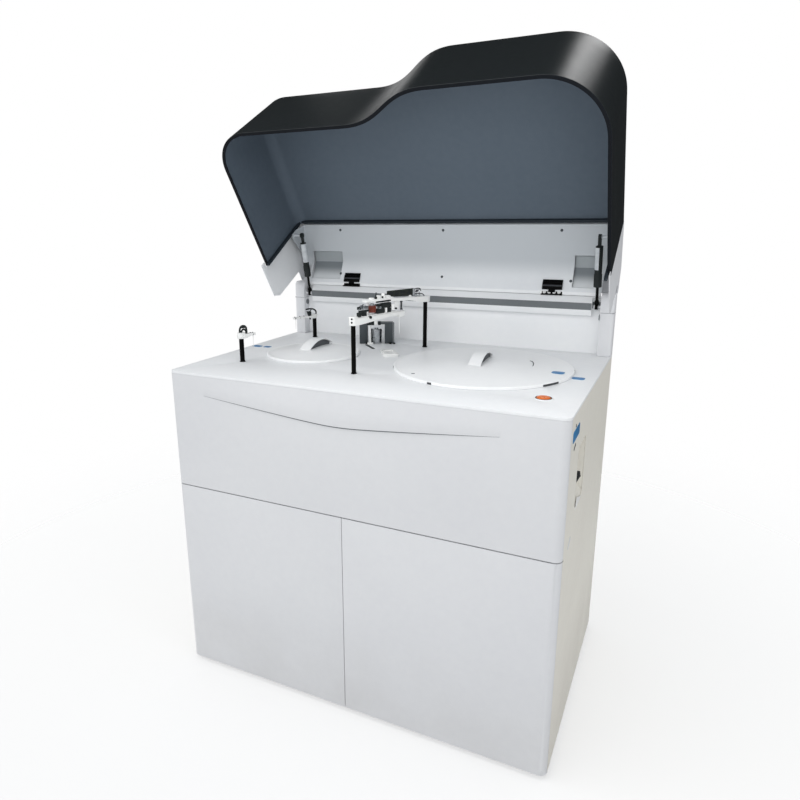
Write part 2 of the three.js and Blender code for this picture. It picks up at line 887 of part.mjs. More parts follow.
function makeTurntable(tub) {
  const tubFloor = deckUnderside - seat - tubDepth;
  const motorTop = tubFloor - seat;
  const plateBottom = tubFloor + tubWall + diskLift;
  const rim = tub.coverRadius - coverOverlap - seat - tubWall - diskClearance;
  const { x, y } = placeOf(tub);
  return turned([
    [0, motorTop - motorHeight + motorWall + seam],
    [spindleRadius, motorTop - motorHeight + motorWall + seam],
    [spindleRadius, plateBottom],
    [rim, plateBottom],
    [rim, plateBottom + rackHeight],
    [rim - rackWidth, plateBottom + rackHeight],
    [rim - rackWidth, plateBottom + diskThickness],
    [hubRadius, plateBottom + diskThickness],
    [hubRadius, plateBottom + 2 * diskThickness],
    [0, plateBottom + 2 * diskThickness],
  ], fine, x, y);
}

function makeMotor(tub) {
  const top = deckUnderside - 2 * seat - tubDepth;
  const bottom = top - motorHeight;
  const bore = spindleRadius + seat;
  const { x, y } = placeOf(tub);
  return turned([
    [0, bottom],
    [motorRadius, bottom],
    [motorRadius, top],
    [bore, top],
    [bore, bottom + motorWall],
    [0, bottom + motorWall],
  ], medium, x, y);
}

// Lift-off covers: a round plate with a raised middle and a strap handle
function makeCover(tub) {
  const low = deckHeight + seat;
  const top = low + coverThickness;
  const radius = tub.coverRadius;
  const plug = radius - coverOverlap - tubLedge;
  const { x, y } = placeOf(tub);
  return turned([
    [0, deckUnderside],
    [plug, deckUnderside],
    [plug, low],
    [radius, low],
    [radius, top - coverRim],
    [radius - coverRim, top],
    [radius - coverRimWidth, top],
    [tub.domeRadius + domeSlope, top + domeRise / 2],
    [tub.domeRadius, top + domeRise],
    [0, top + domeRise],
  ], fine, x, y);
}

function makeHandle(tub) {
  const { x, y } = placeOf(tub);
  const base = deckHeight + seat + coverThickness + domeRise - sheet;
  const half = handleLength / 2;
  const steps = cornerSteps * 2;
  const width = [-handleWidth / 2, handleWidth / 2];
  const under = Array.from({ length: steps + 1 }, (_, i) => {
    const share = i / steps;
    return [handleLength * share - half, base + handleRise * (1 - (2 * share - 1) ** 2)];
  });
  const over = under.map(([along, z]) => [along, z + handleThickness]).reverse();
  const feet = [-1, 1].map((end) => block(
    width,
    end < 0 ? [-half, -half + handleFootLength] : [half - handleFootLength, half],
    [base - handleFootDepth, base + handleThickness],
  ));
  return join(barAlongX([...under, ...over], width), ...feet)
    .rotate([0, 0, tub.handleDegrees])
    .translate([x + tub.handleShift.x, y + tub.handleShift.y, 0]);
}

for (const [side, tub, use] of [['left', leftTub, 'reaction'], ['right', rightTub, 'reagent']]) {
  analyzer.add(piece(`${use}_tub`, makeTub(tub), tubPlastic));
  analyzer.add(piece(`${use}_turntable`, makeTurntable(tub), diskPlastic));
  analyzer.add(piece(`${use}_motor`, makeMotor(tub), blackPlastic));
  analyzer.add(piece(`${side}_tub_cover`, join(makeCover(tub), makeHandle(tub)), deckPaint));
}

// Start button in its bezel
function makeBezel() {
  const outer = buttonRadius + bezelWidth;
  const bore = buttonRadius + seat;
  const top = deckHeight + bezelProud;
  const floor = deckUnderside - bezelDepth;
  return turned([
    [buttonStemRadius + seat, floor],
    [outer - 2 * seat, floor],
    [outer - 2 * seat, deckHeight + seat],
    [outer + bezelWidth, deckHeight + seat],
    [outer, top],
    [bore, top],
    [bore, floor + bezelWidth],
    [buttonStemRadius + seat, floor + bezelWidth],
    [buttonStemRadius + seat, floor],
  ], medium, buttonX, buttonY);
}

function makeButton() {
  const low = deckHeight - buttonTravel;
  return turned([
    [0, deckUnderside - bezelDepth],
    [buttonStemRadius, deckUnderside - bezelDepth],
    [buttonStemRadius, low],
    [buttonRadius, low],
    [buttonRadius, deckHeight + bezelProud],
    [buttonRadius * buttonFlatShare, deckHeight + buttonProud],
    [0, deckHeight + buttonProud],
  ], medium, buttonX, buttonY);
}
analyzer.add(piece('start_button_bezel', makeBezel(), blackPlastic));
analyzer.add(piece('start_button', makeButton(), buttonPlastic));

// Recess in the right side, with a sloping sill and the cheeks that carry the rocker
const recessBackX = halfWidth - recessDepth;
const rockerX = recessBackX - recessWall - cheekDepth / 2;

function makeRecess() {
  const body = block(
    [recessBackX - recessWall, innerHalf - seat],
    [recessFront - recessWall, recessBack + recessWall],
    [recessBottom - recessWall, recessTop + recessWall],
  );
  const hollow = barAlongY([
    [recessBackX, recessBottom + recessSill],
    [innerHalf + overrun, recessBottom],
    [innerHalf + overrun, recessTop],
    [recessBackX, recessTop],
  ], [recessFront, recessBack]);
  const hole = block(
    [recessBackX - recessWall - overrun, recessBackX + overrun],
    [rockerY - rockerWidth / 2 - seat, rockerY + rockerWidth / 2 + seat],
    [rockerHeight - rockerLength / 2 - rockerHoleGap, rockerHeight + rockerLength / 2 + rockerHoleGap],
  );
  const cheeks = [-1, 1].map((side) => {
    const near = rockerY + side * (rockerWidth / 2 + seat);
    const far = near + side * cheekThickness;
    return block(
      [recessBackX - recessWall - cheekDepth, recessBackX - recessWall / 2],
      [Math.min(near, far), Math.max(near, far)],
      [rockerHeight - cheekHeight / 2, rockerHeight + cheekHeight / 2],
    );
  });
  const boreHalf = rockerWidth / 2 + cheekThickness + overrun;
  const bore = roundBarAlongY(
    rockerPinRadius + seat,
    [rockerY - boreHalf, rockerY + boreHalf],
    coarse,
    rockerX,
    rockerHeight,
  );
  return cut(join(cut(body, hollow, hole), ...cheeks), bore);
}

function makeRocker() {
  const face = recessBackX + rockerThickness / 2;
  const half = rockerLength / 2;
  const body = barAlongY([
    [rockerX - rockerPinRadius * 2, rockerHeight - rockerPinRadius * 2],
    [face, rockerHeight - half],
    [face + rockerDish, rockerHeight - half + rockerDish],
    [face - rockerDish, rockerHeight],
    [face + rockerDish, rockerHeight + half - rockerDish],
    [face, rockerHeight + half],
    [rockerX - rockerPinRadius * 2, rockerHeight + rockerPinRadius * 2],
  ], [rockerY - rockerWidth / 2, rockerY + rockerWidth / 2]);
  const pin = roundBarAlongY(
    rockerPinRadius,
    [rockerY - rockerWidth / 2 - cheekThickness, rockerY + rockerWidth / 2 + cheekThickness],
    coarse,
    rockerX,
    rockerHeight,
  );
  return join(body, pin);
}
analyzer.add(piece('switch_recess', makeRecess(), warmPaint));
const rocker = piece('power_rocker', makeRocker().translate([-rockerX, 0, -rockerHeight]), blackPlastic);
rocker.position.set(rockerX, 0, rockerHeight);
rocker.rotation.y = THREE.MathUtils.degToRad(rockerRestDegrees);
analyzer.add(rocker);

// Rear housing: two uprights with strut studs, a wall between them and a ledge on top
function makeUpright(side) {
  const inner = halfWidth - uprightWidth;
  const bulgeY = uprightFront + uprightShoulderDepth * uprightBulgeDepthShare;
  const profile = [
    [uprightFront, deckHeight + seat],
    [cabinetDepth, deckHeight + seat],
    [cabinetDepth, uprightTop],
    [uprightFront + uprightShoulderDepth, uprightTop],
    [bulgeY, uprightTop - uprightShoulderDrop * uprightBulgeDropShare],
    [uprightFront, uprightShoulder],
  ];
  const column = barAlongX(profile, side < 0 ? [-halfWidth, -inner] : [inner, halfWidth]);
  const rounding = plate([
    [inner - overrun, cabinetDepth + overrun],
    [inner - overrun, uprightFront],
    ...arcPoints(
      halfWidth - uprightCornerRadius,
      uprightFront + uprightCornerRadius,
      uprightCornerRadius,
      Math.PI * 1.5,
      Math.PI * 2,
      cornerSteps,
    ),
    [halfWidth, cabinetDepth + overrun],
  ], [deckHeight, uprightTop + overrun]);
  const rounded = column.intersect(side < 0 ? rounding.mirror([1, 0, 0]) : rounding);
  const tip = strutX - strutEyeWidth / 2 - seat;
  const stud = roundBarAlongX(
    strutStudRadius,
    side < 0 ? [-inner - overrun, -tip + strutStudCapWidth] : [tip - strutStudCapWidth, inner + overrun],
    coarse,
    strutFootY,
    strutFootHeight,
  );
  const cap = roundBarAlongX(
    strutStudCap,
    side < 0 ? [-tip, -tip + strutStudCapWidth] : [tip - strutStudCapWidth, tip],
    coarse,
    strutFootY,
    strutFootHeight,
  );
  return join(rounded, stud, cap);
}
analyzer.add(piece('upright_left', makeUpright(-1), whitePaint));
analyzer.add(piece('upright_right', makeUpright(1), whitePaint));

const betweenUprights = [-(halfWidth - uprightWidth) + seat, halfWidth - uprightWidth - seat];
analyzer.add(piece('rear_wall', block(
  betweenUprights,
  [rearWallY, rearWallY + rearWallThickness],
  [deckHeight + seat, ledgeTop - ledgeThickness - seat],
), linerPaint));

// The ledge sheet runs over the top of the wall and folds down the back
const ledgeNose = barAlongX([
  [ledgeBottomY, ledgeBottom],
  [rearWallY - seat, ledgeBottom],
  [rearWallY - seat, ledgeTop],
  [ledgeBackSlopeY, ledgeTop],
  [ledgeFrontY, ledgeLipTop],
  [ledgeFrontY, ledgeLipEdge],
], [-ledgeHalf, ledgeHalf]);
const ledgeSheet = block(
  betweenUprights,
  [ledgeBackSlopeY, cabinetDepth],
  [ledgeTop - ledgeThickness, ledgeTop],
);
const housingBack = block(
  betweenUprights,
  [rearInner, cabinetDepth],
  [deckHeight + seat, ledgeTop - ledgeThickness / 2],
);
analyzer.add(piece('rear_housing_ledge', join(ledgeSheet, ledgeNose, housingBack), linerPaint));

// Arms: the column rides in the deck, the head swings on the column
const columnTop = (arm) => deckHeight + arm.columnHeight;

function makeBeamPlan(arm) {
  return [
    ...arcPoints(0, 0, arm.rootRadius, Math.PI / 2, Math.PI * 1.5, cornerSteps * 2),
    ...arcPoints(arm.beamLength, 0, arm.tipRadius, -Math.PI / 2, Math.PI / 2, cornerSteps * 2),
  ];
}

// The beam's underside rises from the root cap to the thin end
function makeArmArch(arm, low, top) {
  const under = top - arm.endHeight;
  const reach = arm.beamLength + 2 * arm.tipRadius;
  return barAlongX([
    [arm.rootRadius, low - arm.endHeight],
    [reach, low - arm.endHeight],
    [reach, under],
    [arm.archLength, under],
    [arm.rootRadius, low],
  ], [-2 * arm.rootRadius, 2 * arm.rootRadius]).rotate([0, 0, -90]);
}

function makeArmHead(arm) {
  const low = columnTop(arm) + seat;
  const { x, y } = placeOf(arm);
  const top = low + arm.beamHeight;
  const beam = plate(makeBeamPlan(arm), [low, top]).subtract(makeArmArch(arm, low, top));
  const needle = roundBar(
    needleRadius,
    [low - arm.needleDrop, top - arm.endHeight / 2],
    coarse,
    arm.beamLength * arm.needleShare,
    0,
  );
  const box = block(
    arm.boxSpanShares.map((share) => arm.beamLength * share),
    [-arm.boxWidth / 2, arm.boxWidth / 2],
    [top - sheet, top + arm.boxHeight],
  );
  return join(beam, needle, box).rotate([0, 0, arm.degrees]).translate([x, y, 0]);
}

for (const arm of arms) {
  const { x, y } = placeOf(arm);
  const column = roundBar(arm.columnRadius, [deckHeight - columnDrop, columnTop(arm)], medium, x, y);
  analyzer.add(piece(`${arm.name}_arm_column`, column, blackAnodised));
  analyzer.add(piece(`${arm.name}_arm_head`, makeArmHead(arm), armPaint));
}

// Mixing and washing station: two plates with a bridge, and its motor between them
function makeStationFrame() {
  const half = stationSpan / 2;
  const low = deckHeight + seat;
  const high = low + stationHeight;
  const depth = [-stationPlate.depth / 2, stationPlate.depth / 2];
  return join(
    block([-half, -half + stationPlate.width], depth, [low, high]),
    block([half - stationPlate.width, half], depth, [low, high]),
    block([-half, half], depth, [high - stationTopThickness, high]),
  ).rotate([0, 0, stationDegrees]).translate([stationX, stationY, 0]);
}
analyzer.add(piece('wash_station_frame', makeStationFrame(), greySteel));
const stationMotor = roundBar(
  stationMotorRadius,
  [deckHeight + seat, deckHeight + seat + stationMotorHeight],
  medium,
  stationX,
  stationY,
);
analyzer.add(piece('wash_station_motor', stationMotor, brightSteel));

// Tanks, power supply and pump on the pan floor
const onFloor = panFloorTop + seat;
const tankY = cabinetDepth * tankBackShare;
tankAcrossShares.forEach((share, i) => {
  const x = halfWidth * share;
  const body = plate(roundedRectangle(
    [x - tankWidth / 2, x + tankWidth / 2],
    [tankY - tankDepth / 2, tankY + tankDepth / 2],
    frontCornerRadius,
  ), [onFloor, onFloor + tankHeight]);
  const neck = roundBar(
    tankNeckRadius,
    [onFloor + tankHeight - sheet, onFloor + tankHeight + tankNeckHeight],
    medium,
    x,
    tankY - tankDepth / 4,
  );
  analyzer.add(piece(['wash_water_tank', 'waste_tank'][i], join(body, neck), tankPlastic));
});
const powerX = halfWidth * powerAcrossShare;
const powerY = cabinetDepth * powerBackShare;
analyzer.add(piece('power_supply', block(
  [powerX - powerWidth / 2, powerX + powerWidth / 2],
  [powerY - powerDepth / 2, powerY + powerDepth / 2],
  [onFloor, onFloor + powerHeight],
), panSteel));
const pumpX = halfWidth * pumpAcrossShare;
const pumpY = cabinetDepth * pumpBackShare;
const pumpBody = block(
  [pumpX - pumpWidth / 2, pumpX + pumpWidth / 2],
  [pumpY - pumpDepth / 2, pumpY + pumpDepth / 2],
  [onFloor, onFloor + pumpHeight],
);
const pumpHead = roundBarAlongY(
  pumpHeadRadius,
  [pumpY - pumpDepth / 2 - pumpHeadLength, pumpY - pumpDepth / 2 + sheet],
  medium,
  pumpX,
  onFloor + pumpHeight / 2,
);
analyzer.add(piece('fluid_pump', join(pumpBody, pumpHead), blackPlastic));

// Lid frame group: its origin is the hinge axis, forward is -Y and down is -Z
const lid = new THREE.Group();
lid.position.set(0, hingeY, hingeHeight);
lid.rotation.x = -THREE.MathUtils.degToRad(lidOpenDegrees);
analyzer.add(lid);

const lidPoint = ({ forward, down }) => [-forward, -down];

// A sheet that follows a path of lid points, thickened to its left
function sheetAlong(path, thickness) {
  const points = path.map((point) => new THREE.Vector2(...lidPoint(point)));
  const side = (i) => {
    const before = points[Math.max(i - 1, 0)];
    const after = points[Math.min(i + 1, points.length - 1)];
    const run = after.clone().sub(before).normalize();
    return new THREE.Vector2(-run.y, run.x);
  };
  const far = points.map((point, i) => point.clone().addScaledVector(side(i), thickness));
  return [...points, ...far.reverse()].map(({ x, y }) => [x, y]);
}

const linerHalf = halfWidth - wingInset;
const wingSpan = (side) => (side < 0 ? [-linerHalf, -linerHalf + sheet] : [linerHalf - sheet, linerHalf]);

function makeLiner() {
  const lip = { forward: frameHead.forward, down: skinCrown.down + sheet + seat };
  const sheetPath = sheetAlong([frameFoot, frameFold, frameHead, lip], -sheet);
  const panel = barAlongX(sheetPath, [-linerHalf, linerHalf]);
  const wings = [-1, 1].map((side) => barAlongX(
    [frameFold, wingHeel, wingToe, wingTip, frameHead].map(lidPoint),
    wingSpan(side),
  ).translate([0, sheet / 2, sheet / 2]));
  const studs = [-1, 1].map((side) => {
    const tip = strutX + strutEyeWidth / 2 + seat;
    const [y, z] = lidPoint(strutHead);
    return roundBarAlongX(
      strutStudRadius,
      side < 0 ? [-linerHalf + sheet / 2, -tip] : [tip, linerHalf - sheet / 2],
      coarse,
      y,
      z,
    );
  });
  const notches = notchPlacesX.map((x) => block(x, [-notchHigh, -notchLow], [0, hoodTopUp]));
  const footCorners = [[-halfWidth, -linerFootHalf], [linerFootHalf, halfWidth]]
    .map((x) => block(x, [-linerFootReach, overrun], [-overrun, hoodTopUp]));
  return join(cut(panel, ...notches, ...footCorners), ...wings, ...studs);
}
lid.add(piece('lid_liner', makeLiner(), linerPaint));

const skinPath = [skinFoot, skinHeel, skinFold, skinCrown, { forward: hoodRear - seat, down: -hoodTopUp }];
const skinOutline = sheetAlong(skinPath, sheet);
lid.add(piece('lid_rear_cover', barAlongX(skinOutline, [-linedHalf, linedHalf]), whitePaint));

// Side plates of the lid frame; their rear edges meet the uprights' faces when the lid is shut
function makeLidSide(side) {
  const lean = Math.tan(THREE.MathUtils.degToRad(lidCloseDegrees));
  const rearAt = (down) => hingeY - uprightFront + sideRearGap + lean * down;
  const tabTop = hoodRimDown + sideTabGap;
  const bottom = tabTop + sideTabHeight;
  const heelDown = bottom - sideHeelRise;
  const front = hoodRear - sideHoodGap;
  const outline = [
    { forward: front + sideTabReach, down: bottom },
    { forward: sideHeelForward, down: bottom },
    { forward: rearAt(heelDown), down: heelDown },
    { forward: rearAt(sideShoulderDown), down: sideShoulderDown },
    { forward: skinFoot.forward, down: sideShoulderDown },
    skinHeel,
    skinFold,
    skinCrown,
    { forward: front, down: -hoodTopUp },
    { forward: front, down: tabTop },
    { forward: front + sideTabReach, down: tabTop },
  ];
  return barAlongX(outline.map(lidPoint), sidePlan(side));
}
lid.add(piece('lid_side_left', makeLidSide(-1), whitePaint));
lid.add(piece('lid_side_right', makeLidSide(1), whitePaint));

// Hood outline: a left lobe and a longer right lobe joined by a wave, with rounded front corners
function hoodFront(form) {
  const left = new THREE.Vector2(waveStartX, -form.leftFront);
  const right = new THREE.Vector2(waveEndX, -form.rightFront);
  const pull = (waveEndX - waveStartX) * wavePullShare;
  const wave = new THREE.CubicBezierCurve(
    left,
    new THREE.Vector2(waveStartX + pull, left.y),
    new THREE.Vector2(waveEndX - pull, right.y),
    right,
  );
  const leftX = -halfWidth + form.leftCorner;
  const rightX = halfWidth - form.rightCorner;
  const [leftY, rightY] = [left.y + form.leftCorner, right.y + form.rightCorner];
  const steps = cornerSteps * 2;
  return [
    ...arcPoints(leftX, leftY, form.leftCorner, Math.PI, Math.PI * 1.5, steps),
    ...wave.getPoints(waveSteps).map(({ x, y }) => [x, y]),
    ...arcPoints(rightX, rightY, form.rightCorner, Math.PI * 1.5, Math.PI * 2, steps),
  ];
}

// The front path moved inwards along its own normals and closed at the back
function hoodPlan(form, inset, rear) {
  const path = hoodFront(form);
  const moved = path.map(([x, y], i) => {
    const before = path[Math.max(i - 1, 0)];
    const after = path[Math.min(i + 1, path.length - 1)];
    const ends = i === 0 || i === path.length - 1;
    const run = ends ? [0, i === 0 ? -1 : 1] : [after[0] - before[0], after[1] - before[1]];
    const length = Math.hypot(...run);
    return [x - inset * run[1] / length, y + inset * run[0] / length];
  });
  return [[-halfWidth + inset, -rear], ...moved, [halfWidth - inset, -rear]];
}

function makeHood() {
  const bulge = hoodEdgeRound * edgeBulgeShare;
  const levels = [
    { form: hoodRim, inset: 0, z: -hoodRimDown },
    { form: hoodCrown, inset: 0, z: hoodTopUp - hoodEdgeRound },
    { form: hoodCrown, inset: bulge, z: hoodTopUp - bulge },
    { form: hoodCrown, inset: hoodEdgeRound, z: hoodTopUp },
  ];
  const outside = loft(levels.map(({ form, inset, z }) => (
    { outline: hoodPlan(form, inset, hoodRear), z }
  )));
  const slope = (hoodRim.leftFront - hoodCrown.leftFront) / (hoodRimDown + hoodTopUp);
  const reach = (hoodRimDown + overrun) * slope;
  const lower = { ...hoodRim, leftFront: hoodRim.leftFront + reach * overrun / hoodRimDown };
  const inside = loft([
    { outline: hoodPlan(lower, hoodWall, hoodRear - overrun), z: -hoodRimDown - overrun },
    { outline: hoodPlan(hoodCrown, hoodWall, hoodRear - overrun), z: hoodTopUp - hoodEdgeRound },
    {
      outline: hoodPlan(hoodCrown, hoodWall + hoodEdgeRound / 2, hoodRear - overrun),
      z: hoodTopUp - hoodWall,
    },
  ]);
  return cut(outside, inside);
}
lid.add(piece('hood_shell', makeHood(), hoodPlastic));

// Edge trim round the hood's rear opening
function makeHoodTrim() {
  const outer = halfWidth - hoodWall - seat;
  const inner = outer - trimThickness;
  const top = hoodTopUp - hoodWall - seat;
  const low = -hoodRimDown;
  const bevel = hoodEdgeRound;
  return barAlongY([
    [-outer, low],
    [-inner, low],
    [-inner, top - trimThickness],
    [inner, top - trimThickness],
    [inner, low - trimExtraDrop],
    [outer, low - trimExtraDrop],
    [outer, top - bevel],
    [outer - bevel, top],
    [-outer + bevel, top],
    [-outer, top - bevel],
  ], [-hoodRear - trimDepth, -hoodRear]);
}
lid.add(piece('hood_edge_trim', makeHoodTrim(), trimRubber));

// Hinges: the base carries the pin and two barrels, the leaf on the lid has the middle barrel
const barrelLength = hingeWidth / 3;
const leafRun = new THREE.Vector2(
  frameFold.forward - frameFoot.forward,
  frameFoot.down - frameFold.down,
).normalize();

function makeHingeBase(x) {
  const spans = [
    [x - hingeWidth / 2, x - barrelLength / 2 - seat],
    [x + barrelLength / 2 + seat, x + hingeWidth / 2],
  ];
  const barrels = spans.map((span) => join(
    roundBarAlongX(hingeBarrelRadius, span, coarse, hingeY, hingeHeight),
    block(span, [hingeY, hingeY + hingeLeafDepth], [ledgeTop + seat, ledgeTop + seat + hingeLeafThickness]),
  ));
  const whole = [x - hingeWidth / 2, x + hingeWidth / 2];
  const pin = roundBarAlongX(hingePinRadius, whole, coarse, hingeY, hingeHeight);
  const tie = block(
    whole,
    [hingeY + hingeBarrelRadius + seam, hingeY + hingeLeafDepth],
    [ledgeTop + seat, ledgeTop + seat + hingeLeafThickness],
  );
  return join(...barrels, pin, tie);
}

function makeHingeLeaf(x) {
  const along = (distance, depth) => [
    -frameFoot.forward - leafRun.x * distance - leafRun.y * depth,
    -frameFoot.down + leafRun.y * distance - leafRun.x * depth,
  ];
  const outline = [
    [-hingePinRadius, -hingeLinkDrop],
    [-hingePinRadius, -hingeLinkTop],
    [-frameFoot.forward + seat, -hingeLinkTop],
    along(0, seat),
    along(hingeLeafLength, seat),
    along(hingeLeafLength, seat + hingeLeafThickness),
    along(0, seat + hingeLeafThickness),
    [-hingeLinkReach, -hingeLinkDrop],
  ];
  const middleSpan = [x - barrelLength / 2, x + barrelLength / 2];
  const link = barAlongX(outline, middleSpan);
  const wide = barAlongX([
    along(hingeLinkDrop, seat),
    along(hingeLeafLength, seat),
    along(hingeLeafLength, seat + hingeLeafThickness),
    along(hingeLinkDrop, seat + hingeLeafThickness),
  ], [x - hingeWidth / 2, x + hingeWidth / 2]);
  const barrel = roundBarAlongX(hingeBarrelRadius, middleSpan, coarse);
  const bore = roundBarAlongX(hingePinRadius + hingePinClearance, [x - hingeWidth, x + hingeWidth], coarse);
  return cut(join(barrel, link, wide), bore);
}

hingePlacesX.forEach((x, i) => {
  const side = ['left', 'right'][i];
  analyzer.add(piece(`lid_hinge_base_${side}`, makeHingeBase(x), blackPlastic));
  lid.add(piece(`lid_hinge_leaf_${side}`, makeHingeLeaf(x), blackPlastic));
});

// Gas struts, each drawn upright from its lower eye and then leaned to its upper stud
const openAngle = THREE.MathUtils.degToRad(lidOpenDegrees);
const [openSine, openCosine] = [Math.sin(openAngle), Math.cos(openAngle)];
const headY = hingeY - strutHead.forward * openCosine - strutHead.down * openSine;
const headHeight = hingeHeight + strutHead.forward * openSine - strutHead.down * openCosine;
const strutLength = Math.hypot(headY - strutFootY, headHeight - strutFootHeight);
const strutLean = Math.atan2(strutFootY - headY, headHeight - strutFootHeight);
const eyeSpan = [-strutEyeWidth / 2, strutEyeWidth / 2];

function makeStrutRod() {
  const eye = roundBarAlongX(strutEyeRadius, eyeSpan, medium);
  const bore = roundBarAlongX(strutStudRadius + strutStudGap, [-strutEyeWidth, strutEyeWidth], coarse);
  const rod = turned([
    [0, strutRodRadius],
    [strutRodRadius, strutRodRadius],
    [strutRodRadius, strutEyeRadius],
    [strutFlareRadius, strutEyeRadius + seam],
    [strutFlareRadius, strutEyeRadius + strutFlareLength / 2],
    [strutRodRadius, strutEyeRadius + strutFlareLength],
    [strutRodRadius, strutRodShow + strutRodBuried],
    [0, strutRodShow + strutRodBuried],
  ], coarse);
  return cut(join(eye, rod), bore);
}

function makeStrutTube() {
  const top = strutLength - strutNeckLength;
  const tube = turned([
    [strutRodRadius + strutBoreGap, strutRodShow],
    [strutSleeveRadius, strutRodShow],
    [strutSleeveRadius, strutRodShow + strutSleeveLength],
    [strutTubeRadius, strutRodShow + strutSleeveLength],
    [strutTubeRadius, top],
    [strutNeckRadius, top],
    [strutNeckRadius, strutLength - strutNeckRadius],
    [0, strutLength - strutNeckRadius],
    [0, strutRodShow + strutBoreDepth],
    [strutRodRadius + strutBoreGap, strutRodShow + strutBoreDepth],
    [strutRodRadius + strutBoreGap, strutRodShow],
  ], coarse);
  const eye = roundBarAlongX(strutEyeRadius, eyeSpan, medium, 0, strutLength);
  return join(tube, eye);
}

for (const [side, sign] of [['left', -1], ['right', 1]]) {
  const strut = new THREE.Group();
  strut.position.set(sign * strutX, strutFootY, strutFootHeight);
  strut.rotation.x = strutLean;
  strut.add(piece(`gas_strut_rod_${side}`, makeStrutRod(), blackAnodised));
  strut.add(piece(`gas_strut_tube_${side}`, makeStrutTube(), blackPlastic));
  analyzer.add(strut);
}

// The origin stands on the floor in the middle of the whole outline
analyzer.updateMatrixWorld(true);
const outlineBox = new THREE.Box3().setFromObject(analyzer, true);
analyzer.position.y = -(outlineBox.min.y + outlineBox.max.y) / 2;

export default analyzer;
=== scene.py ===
"""Looks for a floor-standing clinical chemistry analyzer whose hood stands open.

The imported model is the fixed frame. Each sub-assembly below dresses its own nodes, replaces the
ones that need rounder shapes, and adds the small fittings that the solids leave out. Shapes are
drawn in millimetres in the frame of their sub-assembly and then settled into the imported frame.
"""
import logging
import math
from collections.abc import Callable, Iterable, Sequence
from dataclasses import astuple, dataclass, replace
from enum import StrEnum

import bpy
from mathutils import Matrix, Vector


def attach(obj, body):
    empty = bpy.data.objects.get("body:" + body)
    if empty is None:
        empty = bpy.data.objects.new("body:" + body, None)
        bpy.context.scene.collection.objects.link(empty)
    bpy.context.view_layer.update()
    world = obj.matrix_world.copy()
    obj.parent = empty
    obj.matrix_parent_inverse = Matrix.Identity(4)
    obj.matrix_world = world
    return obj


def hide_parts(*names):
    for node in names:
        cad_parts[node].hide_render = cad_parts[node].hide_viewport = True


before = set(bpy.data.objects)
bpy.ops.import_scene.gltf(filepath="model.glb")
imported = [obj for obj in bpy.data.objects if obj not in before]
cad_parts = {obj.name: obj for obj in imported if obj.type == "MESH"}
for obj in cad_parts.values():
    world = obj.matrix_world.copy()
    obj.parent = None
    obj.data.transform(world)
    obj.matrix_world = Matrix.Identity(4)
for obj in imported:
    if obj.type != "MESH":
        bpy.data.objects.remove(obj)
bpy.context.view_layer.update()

log = logging.getLogger("analyzer")

MM = 0.001
CABINET_FRONT = -360.8487
WELD = 0.01
Point = tuple[float, float, float]
Flat = tuple[float, float]
Colour = tuple[int, int, int]
Wire = tuple[bpy.types.NodeSocket, bpy.types.NodeSocket]
# Stands an outline of (depth, height) up on its side, raised along x
SIDEWAYS = Matrix(((0, 0, 1, 0), (1, 0, 0, 0), (0, 1, 0, 0), (0, 0, 0, 1)))
# Stands an outline of (across, height) up, raised towards the front
UPRIGHT = Matrix.Rotation(math.radians(90), 4, "X")


class Body(StrEnum):
    """The moving bodies that this file's pieces ride on."""

    CABINET = "cabinet"
    LID = "lid"
    LEFT_COVER = "left_tub_cover"
    RIGHT_COVER = "right_tub_cover"
    BUTTON = "start_button"
    ROCKER = "power_rocker"


# ----------------------------------------------------------------------------------------------
# Frames


def cabinet_frame() -> Matrix:
    """Turns cabinet millimetres, y from the front face and z from the floor, into the frame."""
    return Matrix.Translation((0, CABINET_FRONT * MM, 0)) @ Matrix.Scale(MM, 4)


def planted(place: Point, degrees: float) -> Matrix:
    """Stands a shape at a place, turned about its upright axis."""
    return Matrix.Translation(place) @ Matrix.Rotation(math.radians(degrees), 4, "Z")


@dataclass(frozen=True)
class LidFrame:
    """The raised hood's own frame: x across, forward from the hinge, and up with the lid level."""

    hinge_y: float = 672.0
    hinge_z: float = 1066.0
    open_degrees: float = 57.6

    def matrix(self) -> Matrix:
        """Turns (x, -forward, up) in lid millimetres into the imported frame."""
        lean = Matrix.Rotation(math.radians(-self.open_degrees), 4, "X")
        return cabinet_frame() @ Matrix.Translation((0, self.hinge_y, self.hinge_z)) @ lean


LID = LidFrame()


@dataclass(frozen=True)
class StrutFrame:
    """A gas strut's frame: the origin at its lower eye and z along it to the upper eye."""

    side: int
    x: float = 474.0
    foot_y: float = 660.0
    foot_z: float = 1033.0
    head_forward: float = 166.0
    head_down: float = -42.0

    def head(self) -> tuple[float, float]:
        """The upper eye's y and z in cabinet millimetres."""
        turn = math.radians(LID.open_degrees)
        y = LID.hinge_y - self.head_forward * math.cos(turn) - self.head_down * math.sin(turn)
        z = LID.hinge_z + self.head_forward * math.sin(turn) - self.head_down * math.cos(turn)
        return y, z

    def matrix(self) -> Matrix:
        """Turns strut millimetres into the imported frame."""
        y, z = self.head()
        lean = math.atan2(self.foot_y - y, z - self.foot_z)
        place = Matrix.Translation((self.side * self.x, self.foot_y, self.foot_z))
        return cabinet_frame() @ place @ Matrix.Rotation(lean, 4, "X")


# ----------------------------------------------------------------------------------------------
# Finishes


